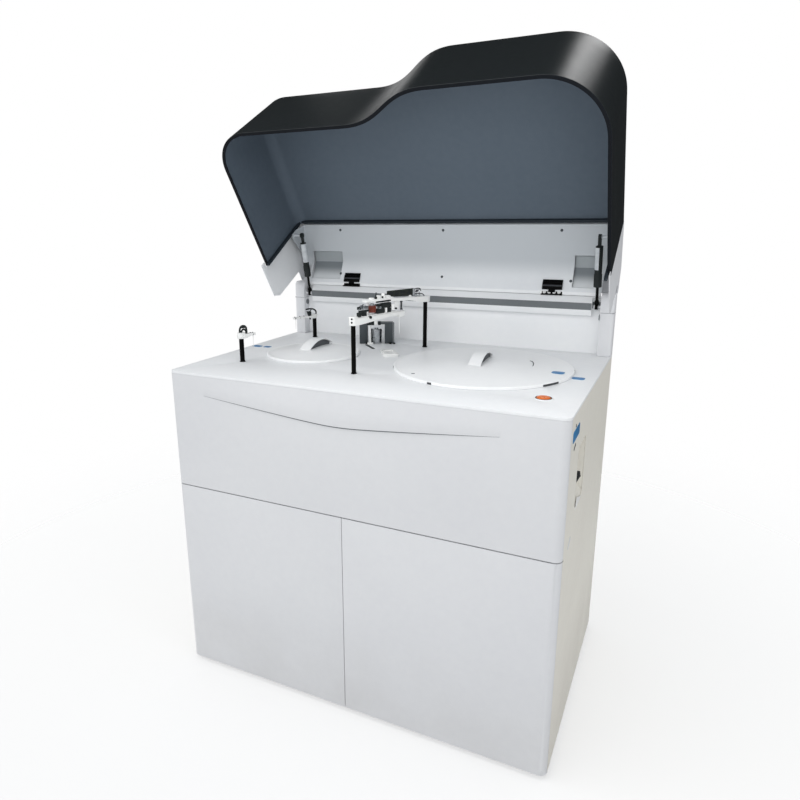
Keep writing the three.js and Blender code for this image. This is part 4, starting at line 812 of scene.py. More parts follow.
@dataclass
class Cabinet:
    """The cabinet's panels and doors, its base and what stands inside."""

    half_width: float = 525.0
    depth: float = 682.0
    corner: float = 18.0
    sheet: float = 1.5
    return_depth: float = 20.0
    panel_low: float = 571.5
    panel_high: float = 888.7
    brow_low_x: float = -15.0
    brow_half: float = 400.0
    brow_low_z: float = 806.0
    brow_top_z: float = 884.0
    brow_step: float = 4.0
    brow_bend: float = 60.0
    brow_slope: float = 0.09
    brow_stations: int = 120
    line_steps: int = 48
    line_reach: float = 0.99
    line_end: float = 0.25
    line_swell: float = 3.1

    def plan(self, inset: float, back: float) -> list[Flat]:
        """The front outline with its rounded corners, from the left rear to the right rear."""
        half = self.half_width - inset
        radius = self.corner - inset
        centre = self.half_width - self.corner
        return [
            (-half, back),
            *arc(-centre, self.corner, radius, 180, 270, 14),
            *arc(centre, self.corner, radius, 270, 360, 14),
            (half, back),
        ]

    def brow_lip(self, share: float) -> Flat:
        """The brow lip's x and height at a share of -1 to 1 of its reach."""
        off = self.brow_half * share
        rise = math.hypot(off, self.brow_bend) - self.brow_bend
        return self.brow_low_x + off, self.brow_low_z + self.brow_slope * rise

    def front_panel(self) -> None:
        """The upper front panel with the shallow smile-shaped step under its brow."""
        outer, inner = (self.plan(inset, self.return_depth) for inset in (0, self.sheet))
        skin = Bench.prism([*outer, *reversed(inner)], self.panel_low, self.panel_high)
        sections = []
        for i in range(self.brow_stations + 1):
            share = 2 * i / self.brow_stations - 1
            x, low = self.brow_lip(share)
            proud = self.brow_step * (1 - share ** 2) + 0.05
            nose = proud * 0.25
            sections.append([
                (x, 0.5, low),
                (x, -proud + nose, low),
                (x, -proud + nose * 0.3, low + nose * 0.3),
                (x, -proud + 0.02 * proud, low + nose),
                (x, -proud * 0.5, (low + self.brow_top_z) / 2),
                (x, 0.02, self.brow_top_z),
                (x, 0.5, self.brow_top_z),
            ])
        brow = Bench.loft(sections)
        Bench.mount(Bench.join([skin, brow]), WHITE_PAINT, "front_panel_skin",
                    stands_for=["front_panel"], smooth=40)

    def shell(self) -> None:
        """The doors, the sides, the back, the base and the inner frame."""
        for door in ("door_left", "door_right"):
            Bench.refine(door, WHITE_PAINT, door, width=0.5, smooth=40)
        for panel in ("side_panel_left", "side_panel_right", "rear_panel"):
            Bench.dress(panel, SIDE_PAINT_WARM_LIT)
        for plate in ("base_pan", "mechanics_shelf", "centre_partition"):
            Bench.dress(plate, PAN_STEEL)
        for corner in ("front_left", "front_right", "rear_left", "rear_right"):
            Bench.refine(f"levelling_foot_{corner}", BLACK_PLASTIC, width=1.0, smooth=40)
        Bench.refine("power_inlet", BLACK_PLASTIC, width=0.6)

    def inlet_blades(self) -> None:
        """The three blades in the power inlet's mouth."""
        blades = [Bench.block((330 + dx - w / 2, 667, 130 + dz - h / 2),
                              (330 + dx + w / 2, 677, 130 + dz + h / 2), 0.4)
                  for dx, dz, w, h in ((-12, -3, 2, 6), (12, -3, 2, 6), (0, 4, 2, 6))]
        Bench.mount(Bench.join(blades), BRIGHT_STEEL, "inlet_blades")

    def panel_screws(self) -> None:
        """Screw heads that hold the rear panel."""
        toward_back = Matrix.Rotation(math.radians(-90), 4, "X")
        places = [(x, self.depth, z) for x in (-505, -170, 170, 505) for z in (40, 865)]
        places += [(x, self.depth, z) for x in (-505, 505) for z in (300, 590)]
        Bench.mount(screws(places, toward_back), BRIGHT_STEEL, "rear_panel_screws")

    def brow_shadow_line(self) -> None:
        """The thin painted shadow line under the brow's lip, which fades out towards both ends."""
        shares = [2 * step / self.line_steps - 1 for step in range(self.line_steps + 1)]
        above = [self.brow_lip(self.line_reach * share) for share in shares]
        below = [(x, z - self.line_end - self.line_swell * (1 - share * share))
                 for (x, z), share in zip(above, shares)]
        # A thin grey strip under the lip, painted as the shadow that the lip casts.
        strip = Bench.prism(above + below[::-1], -0.3, 0.4)
        Bench.mount(Bench.turn(strip, UPRIGHT), LIP_GREY, "brow_shadow_line", slot="white_panel")

    def side_marks(self) -> None:
        """The plain blue tab, the dark dots, the pale slot cover and a painted highlight below the
        switch recess on the right side.
        """
        x = self.half_width
        leaf = [(40, 829), (117, 829), (122, 833), (122, 851), (117, 855), (40, 855), (35, 851),
                (35, 833)]
        tab = Bench.prism(leaf, x, x + 0.4, 0.15)
        Bench.mount(Bench.turn(tab, SIDEWAYS), TAB_BLUE, "side_tab_blue")
        # A white patch painted on the side as light falling on the recess's sill.
        sill = Bench.prism([(158, 662), (174, 656), (233, 636), (144, 634)],
                           x + 0.05, x + 0.35, 0.1)
        Bench.mount(Bench.turn(sill, SIDEWAYS), ARM_WHITE, "side_sill_highlight", slot="white_panel")
        dots = [Bench.prism([(56, 812), (61, 807), (80, 816), (77, 821)], x + 0.2, x + 0.55, 0.1),
                Bench.prism(rounded((64, 858), (72, 865), 3), x + 0.2, x + 0.5, 0.1)]
        Bench.mount(Bench.turn(Bench.join(dots), SIDEWAYS), SLOT_DARK, "side_dots")
        slot = Bench.prism([(72, 573), (80, 567), (107, 580), (104, 589), (96, 588)],
                           x, x + 0.8, 0.3)
        Bench.mount(Bench.turn(slot, SIDEWAYS), WHITE_PAINT, "side_slot_cover")

    def inside(self) -> None:
        """The tanks with their caps, the power supply and the pump."""
        for tank in ("wash_water_tank", "waste_tank"):
            Bench.refine(tank, TANK_PLASTIC, width=6, steps=3, smooth=50)
        Bench.refine("power_supply", SUPPLY_STEEL, width=1.5)
        Bench.refine("fluid_pump", BLACK_PLASTIC, width=2, smooth=40)
        caps = []
        for x in (-380, -150):
            ribs = [(26.5 if i % 2 else 25.4) for i in range(60)]
            turns = [2 * math.pi * i / 60 for i in range(60)]
            ring = [[(x + r * s * math.cos(t), 422.5 + r * s * math.sin(t), z)
                     for r, t in zip(ribs, turns)] for s, z in ((1, 360), (1, 374), (0.93, 377))]
            caps.append(Bench.loft(ring))
        Bench.mount(Bench.join(caps), DISK_PLASTIC, "tank_caps", smooth=25)

    def build(self) -> None:
        """Makes the whole cabinet."""
        self.front_panel()
        self.shell()
        self.inlet_blades()
        self.panel_screws()
        self.brow_shadow_line()
        self.side_marks()
        self.inside()


@dataclass(frozen=True)
class TubSizes:
    """A tub cover's place and sizes."""

    x: float
    y: float
    radius: float
    dome: float
    handle: Flat
    degrees: float


@dataclass
class Deck:
    """The work deck, the tubs under it and the covers, button and marks on it."""

    top: float = 895.0
    seat: float = 0.3
    right: TubSizes = TubSizes(231.0, 367.0, 237.0, 80.0, (-12.0, 28.0), 3.0)
    left: TubSizes = TubSizes(-278.0, 346.0, 138.0, 66.0, (-18.0, 46.0), 3.0)
    button_at: Flat = (442.0, 132.0)
    handle_length: float = 148.0
    handle_width: float = 34.0
    handle_rise: float = 20.0
    handle_sheet: float = 3.0
    handle_steps: int = 28

    def cover(self, tub: TubSizes, body: str) -> None:
        """A lift-off cover with its raised middle and strap handle.

        Args:
            tub: The cover's sizes.
            body: The body that it is.
        """
        low = self.top + self.seat
        high = low + 8
        plug = tub.radius - 22
        profile = [
            (plug - 1.5, 889), (plug, 890.5), (plug, low), (tub.radius - 0.6, low),
            (tub.radius, low + 0.6), (tub.radius, high - 3.2), (tub.radius - 0.8, high - 1.3),
            (tub.radius - 2.6, high - 0.3), (tub.radius - 5, high), (tub.radius - 7.5, high - 0.9),
            (tub.radius - 10, high - 1.1), (tub.radius - 22, high - 0.4),
            (tub.dome + 22, high + 3.0), (tub.dome + 6, high + 4.3),
            (tub.dome - 8, high + 5.4), (tub.dome - 24, high + 6),
        ]
        plate = Bench.turned(profile, sides=128, centre=(tub.x, tub.y))
        strap = self.strap(tub)
        piece = Bench.join([Bench.paint(plate, COVER_PAINT), strap])
        Bench.settle(piece, f"{body}_skin", body, cabinet_frame(), "deck", [body], smooth=28)

    def strap(self, tub: TubSizes) -> bpy.types.Object:
        """A cover's handle: a thin arched strap with turned-down feet, with a dark sheet under the
        arch as painted shade.
        """
        base = self.top + self.seat + 8 + 6 - 1.5
        half = self.handle_length / 2
        wide = self.handle_width / 2
        shares = [i / self.handle_steps for i in range(self.handle_steps + 1)]
        unders = [base + self.handle_rise * (1 - (2 * share - 1) ** 2) for share in shares]
        sections = []
        for share, under in zip(shares, unders):
            along = self.handle_length * share - half
            over = under + self.handle_sheet
            edge = 0.8
            sections.append([
                (-wide + edge, along, under), (wide - edge, along, under),
                (wide, along, under + edge), (wide, along, over - edge),
                (wide - edge, along, over), (-wide + edge, along, over),
                (-wide, along, over - edge), (-wide, along, under + edge),
            ])
        arch = Bench.loft(sections)
        feet = [Bench.block((-wide, end * half - (10 if end > 0 else 0), base - 4.5),
                            (wide, end * half + (0 if end > 0 else 10), base + 2.8), 0.8)
                for end in (-1, 1)]
        # A dark sheet under the arch: painted shade where the strap shades the cover.
        rows = []
        for share, under in zip(shares, unders):
            along = (self.handle_length - 8) * share - half + 4
            rows.append([(-wide + 5, along, base - 5), (wide - 5, along, base - 5),
                         (wide - 5, along, under + 0.2), (-wide + 5, along, under + 0.2)])
        under_shade = Bench.loft(rows)
        Bench.paint(under_shade, HANDLE_SHADE)
        handle = Bench.join([Bench.paint(Bench.join([arch, *feet]), COVER_PAINT), under_shade])
        place = (tub.x + tub.handle[0], tub.y + tub.handle[1], 0)
        return Bench.turn(handle, planted(place, tub.degrees))

    def button(self) -> None:
        """The orange start button and its dark ring."""
        flange = Bench.turned([(18.6, 893), (18.6, 896.1), (19.2, 896.5), (22.0, 896.3),
                               (22.8, 895.3), (22.8, 895.05), (19.7, 895.05), (19.7, 893)],
                              sides=64, centre=self.button_at, loop=True)
        Bench.mount(flange, DECK_PAINT, "start_button_flange")
        ring = Bench.turned([(6.3, 877), (18.4, 877), (18.4, 896.4), (17.9, 896.9), (16.4, 896.9),
                             (15.9, 896.4), (15.9, 880), (6.3, 880)],
                            sides=64, centre=self.button_at, loop=True)
        Bench.mount(ring, BUTTON_RING, "start_button_ring", stands_for=["start_button_bezel"])
        cap = Bench.turned([(6, 877), (6, 892.5), (15.5, 892.5), (15.5, 896.4), (14.9, 897.4),
                            (13.4, 898.3), (11.4, 898.8), (9.5, 899.0), (8.6, 898.7), (7.0, 898.7)],
                           sides=64, centre=self.button_at)
        Bench.mount(cap, BUTTON_ORANGE, "start_button_cap", Body.BUTTON,
                    stands_for=["start_button"])

    def tab(self, x: float, y: float, length: float, width: float, high: float,
            degrees: float = 0) -> bpy.types.Object:
        """A thin rounded tab that lies on a surface.

        Args:
            x: Its middle's place across.
            y: Its middle's place from the front.
            length: How long it is.
            width: How wide it is.
            high: The surface's height.
            degrees: Its turn.

        Returns:
            The new object.
        """
        corner = min(length, width) * 0.3
        shape = Bench.prism(rounded((-length / 2, -width / 2), (length / 2, width / 2), corner),
                            high - 0.3, high + 0.3, 0.1)
        return Bench.turn(shape, planted((x, y, 0), degrees))

    def rim_slot(self, tub: TubSizes, start: float, end: float) -> bpy.types.Object:
        """A dark slot in a cover's rim, between two angles in degrees."""
        steps = max(2, round((end - start) / 2))
        rows = []
        for x, y in arc(tub.x, tub.y, 1, start, end, steps):
            way = (x - tub.x, y - tub.y)
            rows.append([(tub.x + way[0] * r, tub.y + way[1] * r, z) for r, z in (
                (tub.radius - 2, 896.4), (tub.radius + 0.35, 896.4), (tub.radius + 0.35, 901.2),
                (tub.radius - 2, 901.2))])
        return Bench.loft(rows)

    def marks(self) -> None:
        """Plain blue tabs, the dark slots in the right cover's rim and its hook."""
        top, high = self.top, self.top + self.seat + 8
        Bench.mount(Bench.join([
            self.tab(483, 349, 31, 26, top, -3), self.tab(-502, 375, 31, 22, top, -3),
            self.tab(-466, 377, 24, 20, top, -3)]), TAB_BLUE, "deck_tabs_blue")
        Bench.mount(self.tab(432, 355, 31, 27, high + 0.35, -3), TAB_BLUE, "cover_tab_blue",
                    Body.RIGHT_COVER)
        hook = Bench.tube([(338, 458, high + 1.0), (346, 448, high + 2), (354, 428, high + 2),
                           (358, 406, high + 1.5), (360, 392, high + 1)], 1.3)
        slots = [self.rim_slot(self.right, *angles) for angles in (
            (-36.5, -23.5), (-107, -104), (-155.5, -152.5), (8, 11))]
        Bench.mount(Bench.join([hook, *slots, self.tab(101, 200, 9, 5, high, 20)]), SLOT_DARK,
                    "cover_latch_slots", Body.RIGHT_COVER)

    def bath(self) -> None:
        """The small white wash bath and the dark slot beside it, in front of the wash station."""
        top = self.top
        cap = Bench.prism(rounded((-22, -37), (22, 37), 6), top - 0.2, top + 9, 1.6, 3)
        well = Bench.prism(rounded((-13, -27), (13, 27), 4), top + 6, top + 12)
        Bench.carve(cap, well)
        Bench.turn(cap, planted((-66, 424, 0), 33))
        Bench.mount(cap, ARM_WHITE, "wash_bath_cap")
        slot = Bench.prism(rounded((-38, -5), (38, 5), 4), top - 0.1, top + 0.4, 0.15)
        Bench.turn(slot, planted((-170, 506, 0), -45))
        Bench.mount(slot, SLOT_DARK, "wash_slot")

    def build(self) -> None:
        """Makes the deck and what it carries."""
        Bench.refine("deck_cover", DECK_PAINT, width=1.6, steps=3, smooth=40, bend=60)
        for use in ("reaction", "reagent"):
            Bench.dress(f"{use}_tub", TUB_PLASTIC)
            Bench.dress(f"{use}_turntable", DISK_PLASTIC)
            Bench.dress(f"{use}_motor", BLACK_PLASTIC)
        self.cover(self.left, Body.LEFT_COVER)
        self.cover(self.right, Body.RIGHT_COVER)
        self.button()
        self.marks()
        self.bath()


@dataclass
class SideSwitch:
    """The recess in the right side with its rocker switch."""

    cap: Sequence[Flat] = ((143, 731), (146, 702), (190, 697), (213, 692), (196, 712))
    cap_root: float = 508
    cap_face: float = 524

    def build(self) -> None:
        """Dresses the recess and the rocker, and adds the rocker's deep black cap."""
        Bench.refine("switch_recess", SIDE_PAINT_WARM_LIT, width=0.5)
        Bench.refine("power_rocker", BLACK_PLASTIC, Body.ROCKER, width=0.6, smooth=35)
        cap = Bench.prism(self.cap, self.cap_root, self.cap_face, 1.0, 3)
        Bench.mount(Bench.turn(cap, SIDEWAYS), BLACK_PLASTIC, "power_rocker_cap", Body.ROCKER)


@dataclass
class RearHousing:
    """The uprights, the wall between them and the ledge that carries the hinges."""

    wall_half: float = 487.0
    half_width: float = 525.0

    def uprights(self) -> None:
        """The two uprights with the seam near their tops."""
        seams = []
        for side, name in ((-1, "upright_left"), (1, "upright_right")):
            Bench.refine(name, WHITE_PAINT, width=2.5, steps=3, smooth=40, bend=50)
            low, high = sorted((side * self.wall_half, side * self.half_width))
            seams.append(Bench.prism(rounded((low - 0.2, 639.8), (high + 0.2, 682.2), 2.6),
                                     1018.6, 1019.6))
        Bench.mount(Bench.join(seams), LIP_GREY, "upright_seams")

    def plugs(self) -> None:
        """Grey hole plugs on the uprights' inner faces, under the struts' feet."""
        plugs = []
        for side, y, z in ((-1, 661, 1003), (1, 645, 1006)):
            plug = Bench.turned([(9, 0), (9, 1.2), (7.6, 2.4), (3, 2.8)], sides=32)
            turn = Matrix.Rotation(math.radians(-90 * side), 4, "Y")
            plugs.append(Bench.turn(plug, Matrix.Translation((side * self.wall_half, y, z)) @ turn))
        Bench.mount(Bench.join(plugs), LIP_GREY, "upright_hole_plugs")

    def lip(self) -> None:
        """The grey strip along the ledge's front edge."""
        outline = [(649.4, 1044), (650.6, 1044), (650.6, 1039.6), (653.2, 1024), (651.9, 1024),
                   (649.4, 1039.6)]
        strip = Bench.turn(Bench.prism(outline, -461.6, 461.6, 0.2, 1), SIDEWAYS)
        ends = [Bench.block((low, 669.5, 1027), (high, 670.7, 1046), 0.2)
                for low, high in ((-486.6, -462.2), (462.2, 486.6))]
        Bench.mount(Bench.join([strip, *ends]), LIP_GREY, "ledge_lip_strip")

    def build(self) -> None:
        """Makes the rear housing."""
        self.uprights()
        Bench.dress("rear_wall", WALL_PAINT)
        Bench.refine("rear_housing_ledge", WALL_PAINT, width=0.5)
        self.plugs()
        self.lip()


@dataclass(frozen=True)
class ArmSizes:
    """An arm's place, height, heading and beam."""

    name: str
    x: float
    y: float
    radius: float
    top: float
    degrees: float
    length: float
    beam: float
    end: float
    arch: float
    root: float
    tip: float
    needle_drop: float
    needle_share: float

    def plan(self) -> list[Flat]:
        """The beam's outline: the root's and the tip's round ends with straight sides."""
        lean = math.degrees(math.acos((self.root - self.tip) / self.length))
        return [*arc(self.length, 0, self.tip, -lean, lean, 12),
                *arc(0, 0, self.root, lean, 360 - lean, 24)]


@dataclass
class Arms:
    """The four arms: black columns with white heads and the small fittings on them.

    A head's frame has x along its beam, y to its left and z up from the beam's underside.
    """

    front_left: ArmSizes = ArmSizes("front_left", -407.98, 170.98, 6.7, 961.3, 59, 38, 13, 7, 28,
                                    11, 5, 40, 0.94)
    rear_left: ArmSizes = ArmSizes("rear_left", -417.48, 588.70, 6.6, 959.3, 245, 80, 10, 6, 40, 9,
                                   5, 30, 0.94)
    front_centre: ArmSizes = ArmSizes("front_centre", -51.92, 168.73, 6.1, 1021.3, 71, 183, 18, 9,
                                      120, 11, 9, 45, 0.95)
    rear_centre: ArmSizes = ArmSizes("rear_centre", -12.6, 571.31, 6.2, 1036.3, 227, 160, 17, 9, 60,
                                     14, 11, 24, 0.5)

    def every(self) -> tuple[ArmSizes, ...]:
        """The four arms."""
        return self.front_left, self.rear_left, self.front_centre, self.rear_centre

    def head_frame(self, arm: ArmSizes) -> Matrix:
        """The frame of an arm's head."""
        return cabinet_frame() @ planted((arm.x, arm.y, arm.top), arm.degrees)

    def fit(self, arm: ArmSizes, name: str, parts: Sequence[bpy.types.Object], finish: Finish,
            stands_for: Iterable[str] = ()) -> None:
        """Settles fittings of one finish on an arm's head."""
        Bench.mount(Bench.join(parts), finish, f"{arm.name}_{name}", f"{arm.name}_head",
                    self.head_frame(arm), stands_for=stands_for, smooth=38)

    def collars(self) -> None:
        """Thin dark wipers where the columns leave the deck."""
        rings = [Bench.turned([(arm.radius + 0.35, 895), (arm.radius + 1.5, 895),
                               (arm.radius + 1.3, 897.2), (arm.radius + 0.35, 898)],
                              sides=40, centre=(arm.x, arm.y), loop=True)
                 for arm in self.every()]
        Bench.mount(Bench.join(rings), BLACK_METAL, "arm_collars")

    def beam(self, arm: ArmSizes) -> bpy.types.Object:
        """An arm's white beam, with its underside rising towards the tip."""
        beam = Bench.prism(arm.plan(), 0, arm.beam, 1.4, 3)
        far = arm.length + 2 * arm.tip
        under = arm.beam - arm.end
        outline = [(arm.root, -arm.end), (far, -arm.end), (far, under), (arm.arch, under),
                   (arm.root, 0)]
        cutter = Bench.prism(outline, -2 * arm.root, 2 * arm.root)
        stand = Matrix(((1, 0, 0, 0), (0, 0, -1, 0), (0, 1, 0, 0), (0, 0, 0, 1)))
        return Bench.carve(beam, Bench.turn(cutter, stand))

    def needle(self, arm: ArmSizes) -> bpy.types.Object:
        """The thin steel tube that hangs from the beam, in its clamp."""
        x = arm.length * arm.needle_share
        under = arm.beam - arm.end if x > arm.arch else arm.beam * 0.4
        return Bench.turned([(0.4, -arm.needle_drop), (0.7, -arm.needle_drop + 5), (0.7, under - 4),
                             (1.8, under - 3), (1.8, under + 1)], sides=20, centre=(x, 0))

    def short_head(self, arm: ArmSizes, hoses: Sequence[bpy.types.Object], dots: Sequence[Point],
                   side: float) -> None:
        """One of the two short arms on the left.

        Args:
            arm: The arm.
            hoses: Its hoses and clump of leads.
            dots: Where its tip screws are.
            side: 1 or -1 for the side that faces the front.
        """
        cap = Bench.prism(rounded((-9, -8), (11, 8), 4), arm.beam - 2, arm.beam + 4, 1.6, 3)
        self.fit(arm, "head_skin", [self.beam(arm), cap], ARM_WHITE, [f"{arm.name}_arm_head"])
        self.fit(arm, "needle", [self.needle(arm)], ARM_WHITE)
        self.fit(arm, "hoses", hoses, BLACK_PLASTIC)
        heads = [Bench.turned([(2.0, z - 1), (2.0, z + 1.2), (1.2, z + 1.8)], sides=20,
                              centre=(x, y)) for x, y, z in dots]
        level = arm.beam - 3.4
        studs = [Bench.bar((x, side * 2, level), (x, side * (arm.tip + 1.2), level), 1.3)
                 for x, _, _ in dots]
        self.fit(arm, "tip_screws", [*heads, *studs], SLOT_DARK)

    def left_heads(self) -> None:
        """The two short arms with their looped hoses."""
        arm = self.front_left
        hoses = [
            Bench.tube([(-4, -4, 14), (-5, -4, 24), (-1, -4, 33), (6, -4, 35.5), (13, -4, 32),
                        (15, -4, 24), (15, -4, 12)], 2.7),
            Bench.tube([(-2, -5, 14), (0, -5, 21), (6, -5, 26), (11, -5, 23), (14, -5, 14)], 2.6),
            Bench.tube([(-4, -4, 30.5), (4, -4, 31), (13, -4, 30.5)], 2.0),
        ]
        self.short_head(arm, hoses, [(28.4, 0, 13), (34.5, 0, 13)], -1)
        arm = self.rear_left
        hoses = [
            Bench.tube([(-3, 4, 11), (-4, 4, 21), (3, 4, 29), (14, 4, 32.5), (26, 4, 33),
                        (36, 4, 32)], 2.5),
            Bench.loft([[(33, 1, 26), (33, 6, 26), (16, 6, 24), (16, 1, 24)],
                        [(28, 2, 12), (28, 7, 12), (17, 7, 12), (17, 2, 12)],
                        [(24, 5.5, -2), (24, 8.5, -2), (20, 8.5, -2), (20, 5.5, -2)]]),
            Bench.tube([(14, 4, 32), (18, 4, 27), (24, 4, 22)], 1.6),
        ]
        self.short_head(arm, hoses, [(42, 0, 10), (59, 0, 10), (78, 0, 10)], 1)

    def front_centre_head(self) -> None:
        """The front centre arm: a bridge with a coil, valves and a white carrier on top."""
        arm = self.front_centre
        cap = Bench.prism(rounded((-10, -9.5), (9, 9.5), 6), 16, 22.5, 2.0, 3)
        rail = Bench.prism([(6, -5), (160, -6), (160, 8), (6, 9)], 17, 21.5, 0.8)
        plate = Bench.prism([(36, -4), (44, -8), (142, -8), (146, -4), (146, 12), (44, 12)],
                            54, 60, 1.2, 3)
        posts = [Bench.block((x, 4, 20), (x + 6, 10, 55), 1.0) for x in (58, 136)]
        end = Bench.block((166, -8, 3), (187, 8, 12), 1.6, 3)
        lugs = [Bench.block((62, -6, 59), (72, 6, 64), 1.2),
                Bench.block((88, -5, 59), (98, 6, 68), 1.4),
                Bench.turned([(4.5, 59), (4.5, 70), (3.4, 72)], sides=24, centre=(110, 0)),
                Bench.block((120, -5, 59), (134, 6, 65), 1.2)]
        barrel = Bench.turned([(5.6, 25), (5.6, 40), (4.6, 41.5)], sides=28, centre=(141, -5))
        nub = Bench.turned([(3.2, 22), (3.2, 33), (2.4, 34.5)], sides=24, centre=(114, -7))
        white = [self.beam(arm), cap, rail, plate, *posts, end, *lugs, barrel, nub]
        self.fit(arm, "head_skin", white, ARM_WHITE, ["front_centre_arm_head"])
        self.fit(arm, "needle", [self.needle(arm)], ARM_WHITE)
        coil = Bench.turned([(4, 26), (10, 26), (10.2, 27), (10.2, 43), (9.6, 44), (4, 44)],
                            sides=40)
        wraps = [Bench.turned([(10.0, z), (10.9, z + 0.7), (10.0, z + 1.4)], sides=40, loop=True)
                 for z in [27.5 + 1.6 * i for i in range(10)]]
        winding = Bench.turn(Bench.join([coil, *wraps]), Matrix.Translation((68, -1, 0)))
        self.fit(arm, "coil", [winding], COIL_BROWN)
        dark = [
            Bench.block((12, -9, 20), (22, 0, 31), 1.2),
            Bench.block((14, -9, 31), (50, -4, 36.5), 1.0),
            Bench.block((13, -8, 38), (23, 0, 46), 2.0),
            Bench.block((28, -6, 20), (44, 4, 32), 1.2),
            Bench.block((80, -8, 21), (108, 3, 34), 1.4),
            Bench.block((80, -6, 40), (100, 3, 46), 1.2),
            Bench.block((100, -8, 34), (134, 3, 47), 1.4),
            Bench.block((118, -8, 21), (134, 3, 33), 1.2),
            Bench.block((78, -8.5, 50), (132, -4, 53.6), 0.8),
            Bench.tube([(72, -8, 62), (80, -4, 72), (82, -2, 76)], 1.6),
            Bench.turned([(2.6, 60), (2.6, 66)], sides=20, centre=(80, -4)),
            Bench.turned([(2.4, 60), (2.4, 65)], sides=20, centre=(104, -4)),
            Bench.bar((51.5, -6, 16), (51.5, -13.5, 16), 3.7),
            Bench.bar((152, -6, 28.5), (152, -10, 28.5), 2.8),
        ]
        self.fit(arm, "valves", dark, BLACK_PLASTIC)
        bright = [
            Bench.block((24, -6, 37), (34, 2, 48), 1.2),
            Bench.block((38, -5, 37), (50, 2, 46), 1.2),
            Bench.tube([(12, -6, 34), (16, -7, 41), (24, -6, 47), (32, -5, 50)], 1.4),
            Bench.block((84, -9.5, 34), (94, -2, 40), 0.8),
            Bench.turned([(5.0, 44), (5.0, 49), (3.0, 50)], sides=24, centre=(68, -1)),
        ]
        self.fit(arm, "fittings", bright, BRIGHT_STEEL)
        faces = [Bench.bar((-8.4, -4.7, z), (-10.6, -5.9, z), 2.3) for z in (8.6, 17.6)]
        self.fit(arm, "head_screws", faces, BLACK_METAL)

    def rear_centre_head(self) -> None:
        """The rear centre arm: a circuit board on its edge, its plugs and a hanging spring."""
        arm = self.rear_centre
        clips = [Bench.block((x, 0, 14), (x + 8, 8, 23), 1.0) for x in (50, 116)]
        block = Bench.block((88, -4, -17), (103, 6, 10), 1.6, 3)
        self.fit(arm, "head_skin", [self.beam(arm), *clips, block], ARM_WHITE,
                 ["rear_centre_arm_head"])
        self.fit(arm, "needle", [self.needle(arm)], ARM_WHITE)
        sheet = Bench.loft([[(46, y, 20.3), (129, y, 21.3), (129, y, 38.4), (46, y, 42.7)]
                            for y in (4.8, 6.4)])
        self.fit(arm, "board", [sheet], BOARD_GREEN)
        chips = [Bench.block((x, 6, z), (x + w, 8.4, z + h), 0.4)
                 for x, z, w, h in ((52, 25, 12, 9), (70, 30, 16, 7), (92, 24, 12, 10),
                                    (110, 27, 14, 8), (74, 22, 9, 5), (50, 37, 10, 4),
                                    (90, 36, 9, 3))]
        self.fit(arm, "board_chips", chips, BLACK_PLASTIC)
        plugs = [
            Bench.block((39, 1, 22), (46, 9, 43), 1.0),
            Bench.block((30, 1, 17), (37, 7, 26), 0.8),
            Bench.turned([(2.2, 17), (2.2, 30), (1.6, 31)], sides=20, centre=(22, 3)),
        ]
        self.fit(arm, "connectors", plugs, BRIGHT_STEEL)
        wires = [
            Bench.tube([(38, 6, 40), (30, 7, 42), (22, 6, 40), (18, 5, 34)], 1.5),
            Bench.tube([(38, 6, 34), (32, 7, 32), (26, 6, 36), (20, 5, 41)], 1.4),
            Bench.tube([(38, 6, 28), (30, 7, 27), (20, 6, 25), (12, 5, 24), (6, 4, 18)], 1.5),
            Bench.block((27, 3, 31), (34, 8, 38), 1.0),
        ]
        self.fit(arm, "wires", wires, SLOT_DARK)
        hangs = (81.7, 4)
        spring = [Bench.turned([(3.9, -20), (3.9, -17), (2.5, -15), (2.5, 1), (3.9, 3), (3.9, 7)],
                               sides=24, centre=hangs)]
        spring += [Bench.turned([(2.4, z), (3.3, z + 0.8), (2.4, z + 1.6)], sides=24,
                                centre=hangs, loop=True)
                   for z in [-14 + 2.1 * i for i in range(7)]]
        self.fit(arm, "spring", spring, SLOT_DARK)

    def build(self) -> None:
        """Makes the arms' heads and dresses their columns."""
        for arm in self.every():
            Bench.refine(f"{arm.name}_arm_column", BLACK_METAL, f"{arm.name}_column",
                         width=0.5, smooth=40)
        self.collars()
        self.left_heads()
        self.front_centre_head()
        self.rear_centre_head()


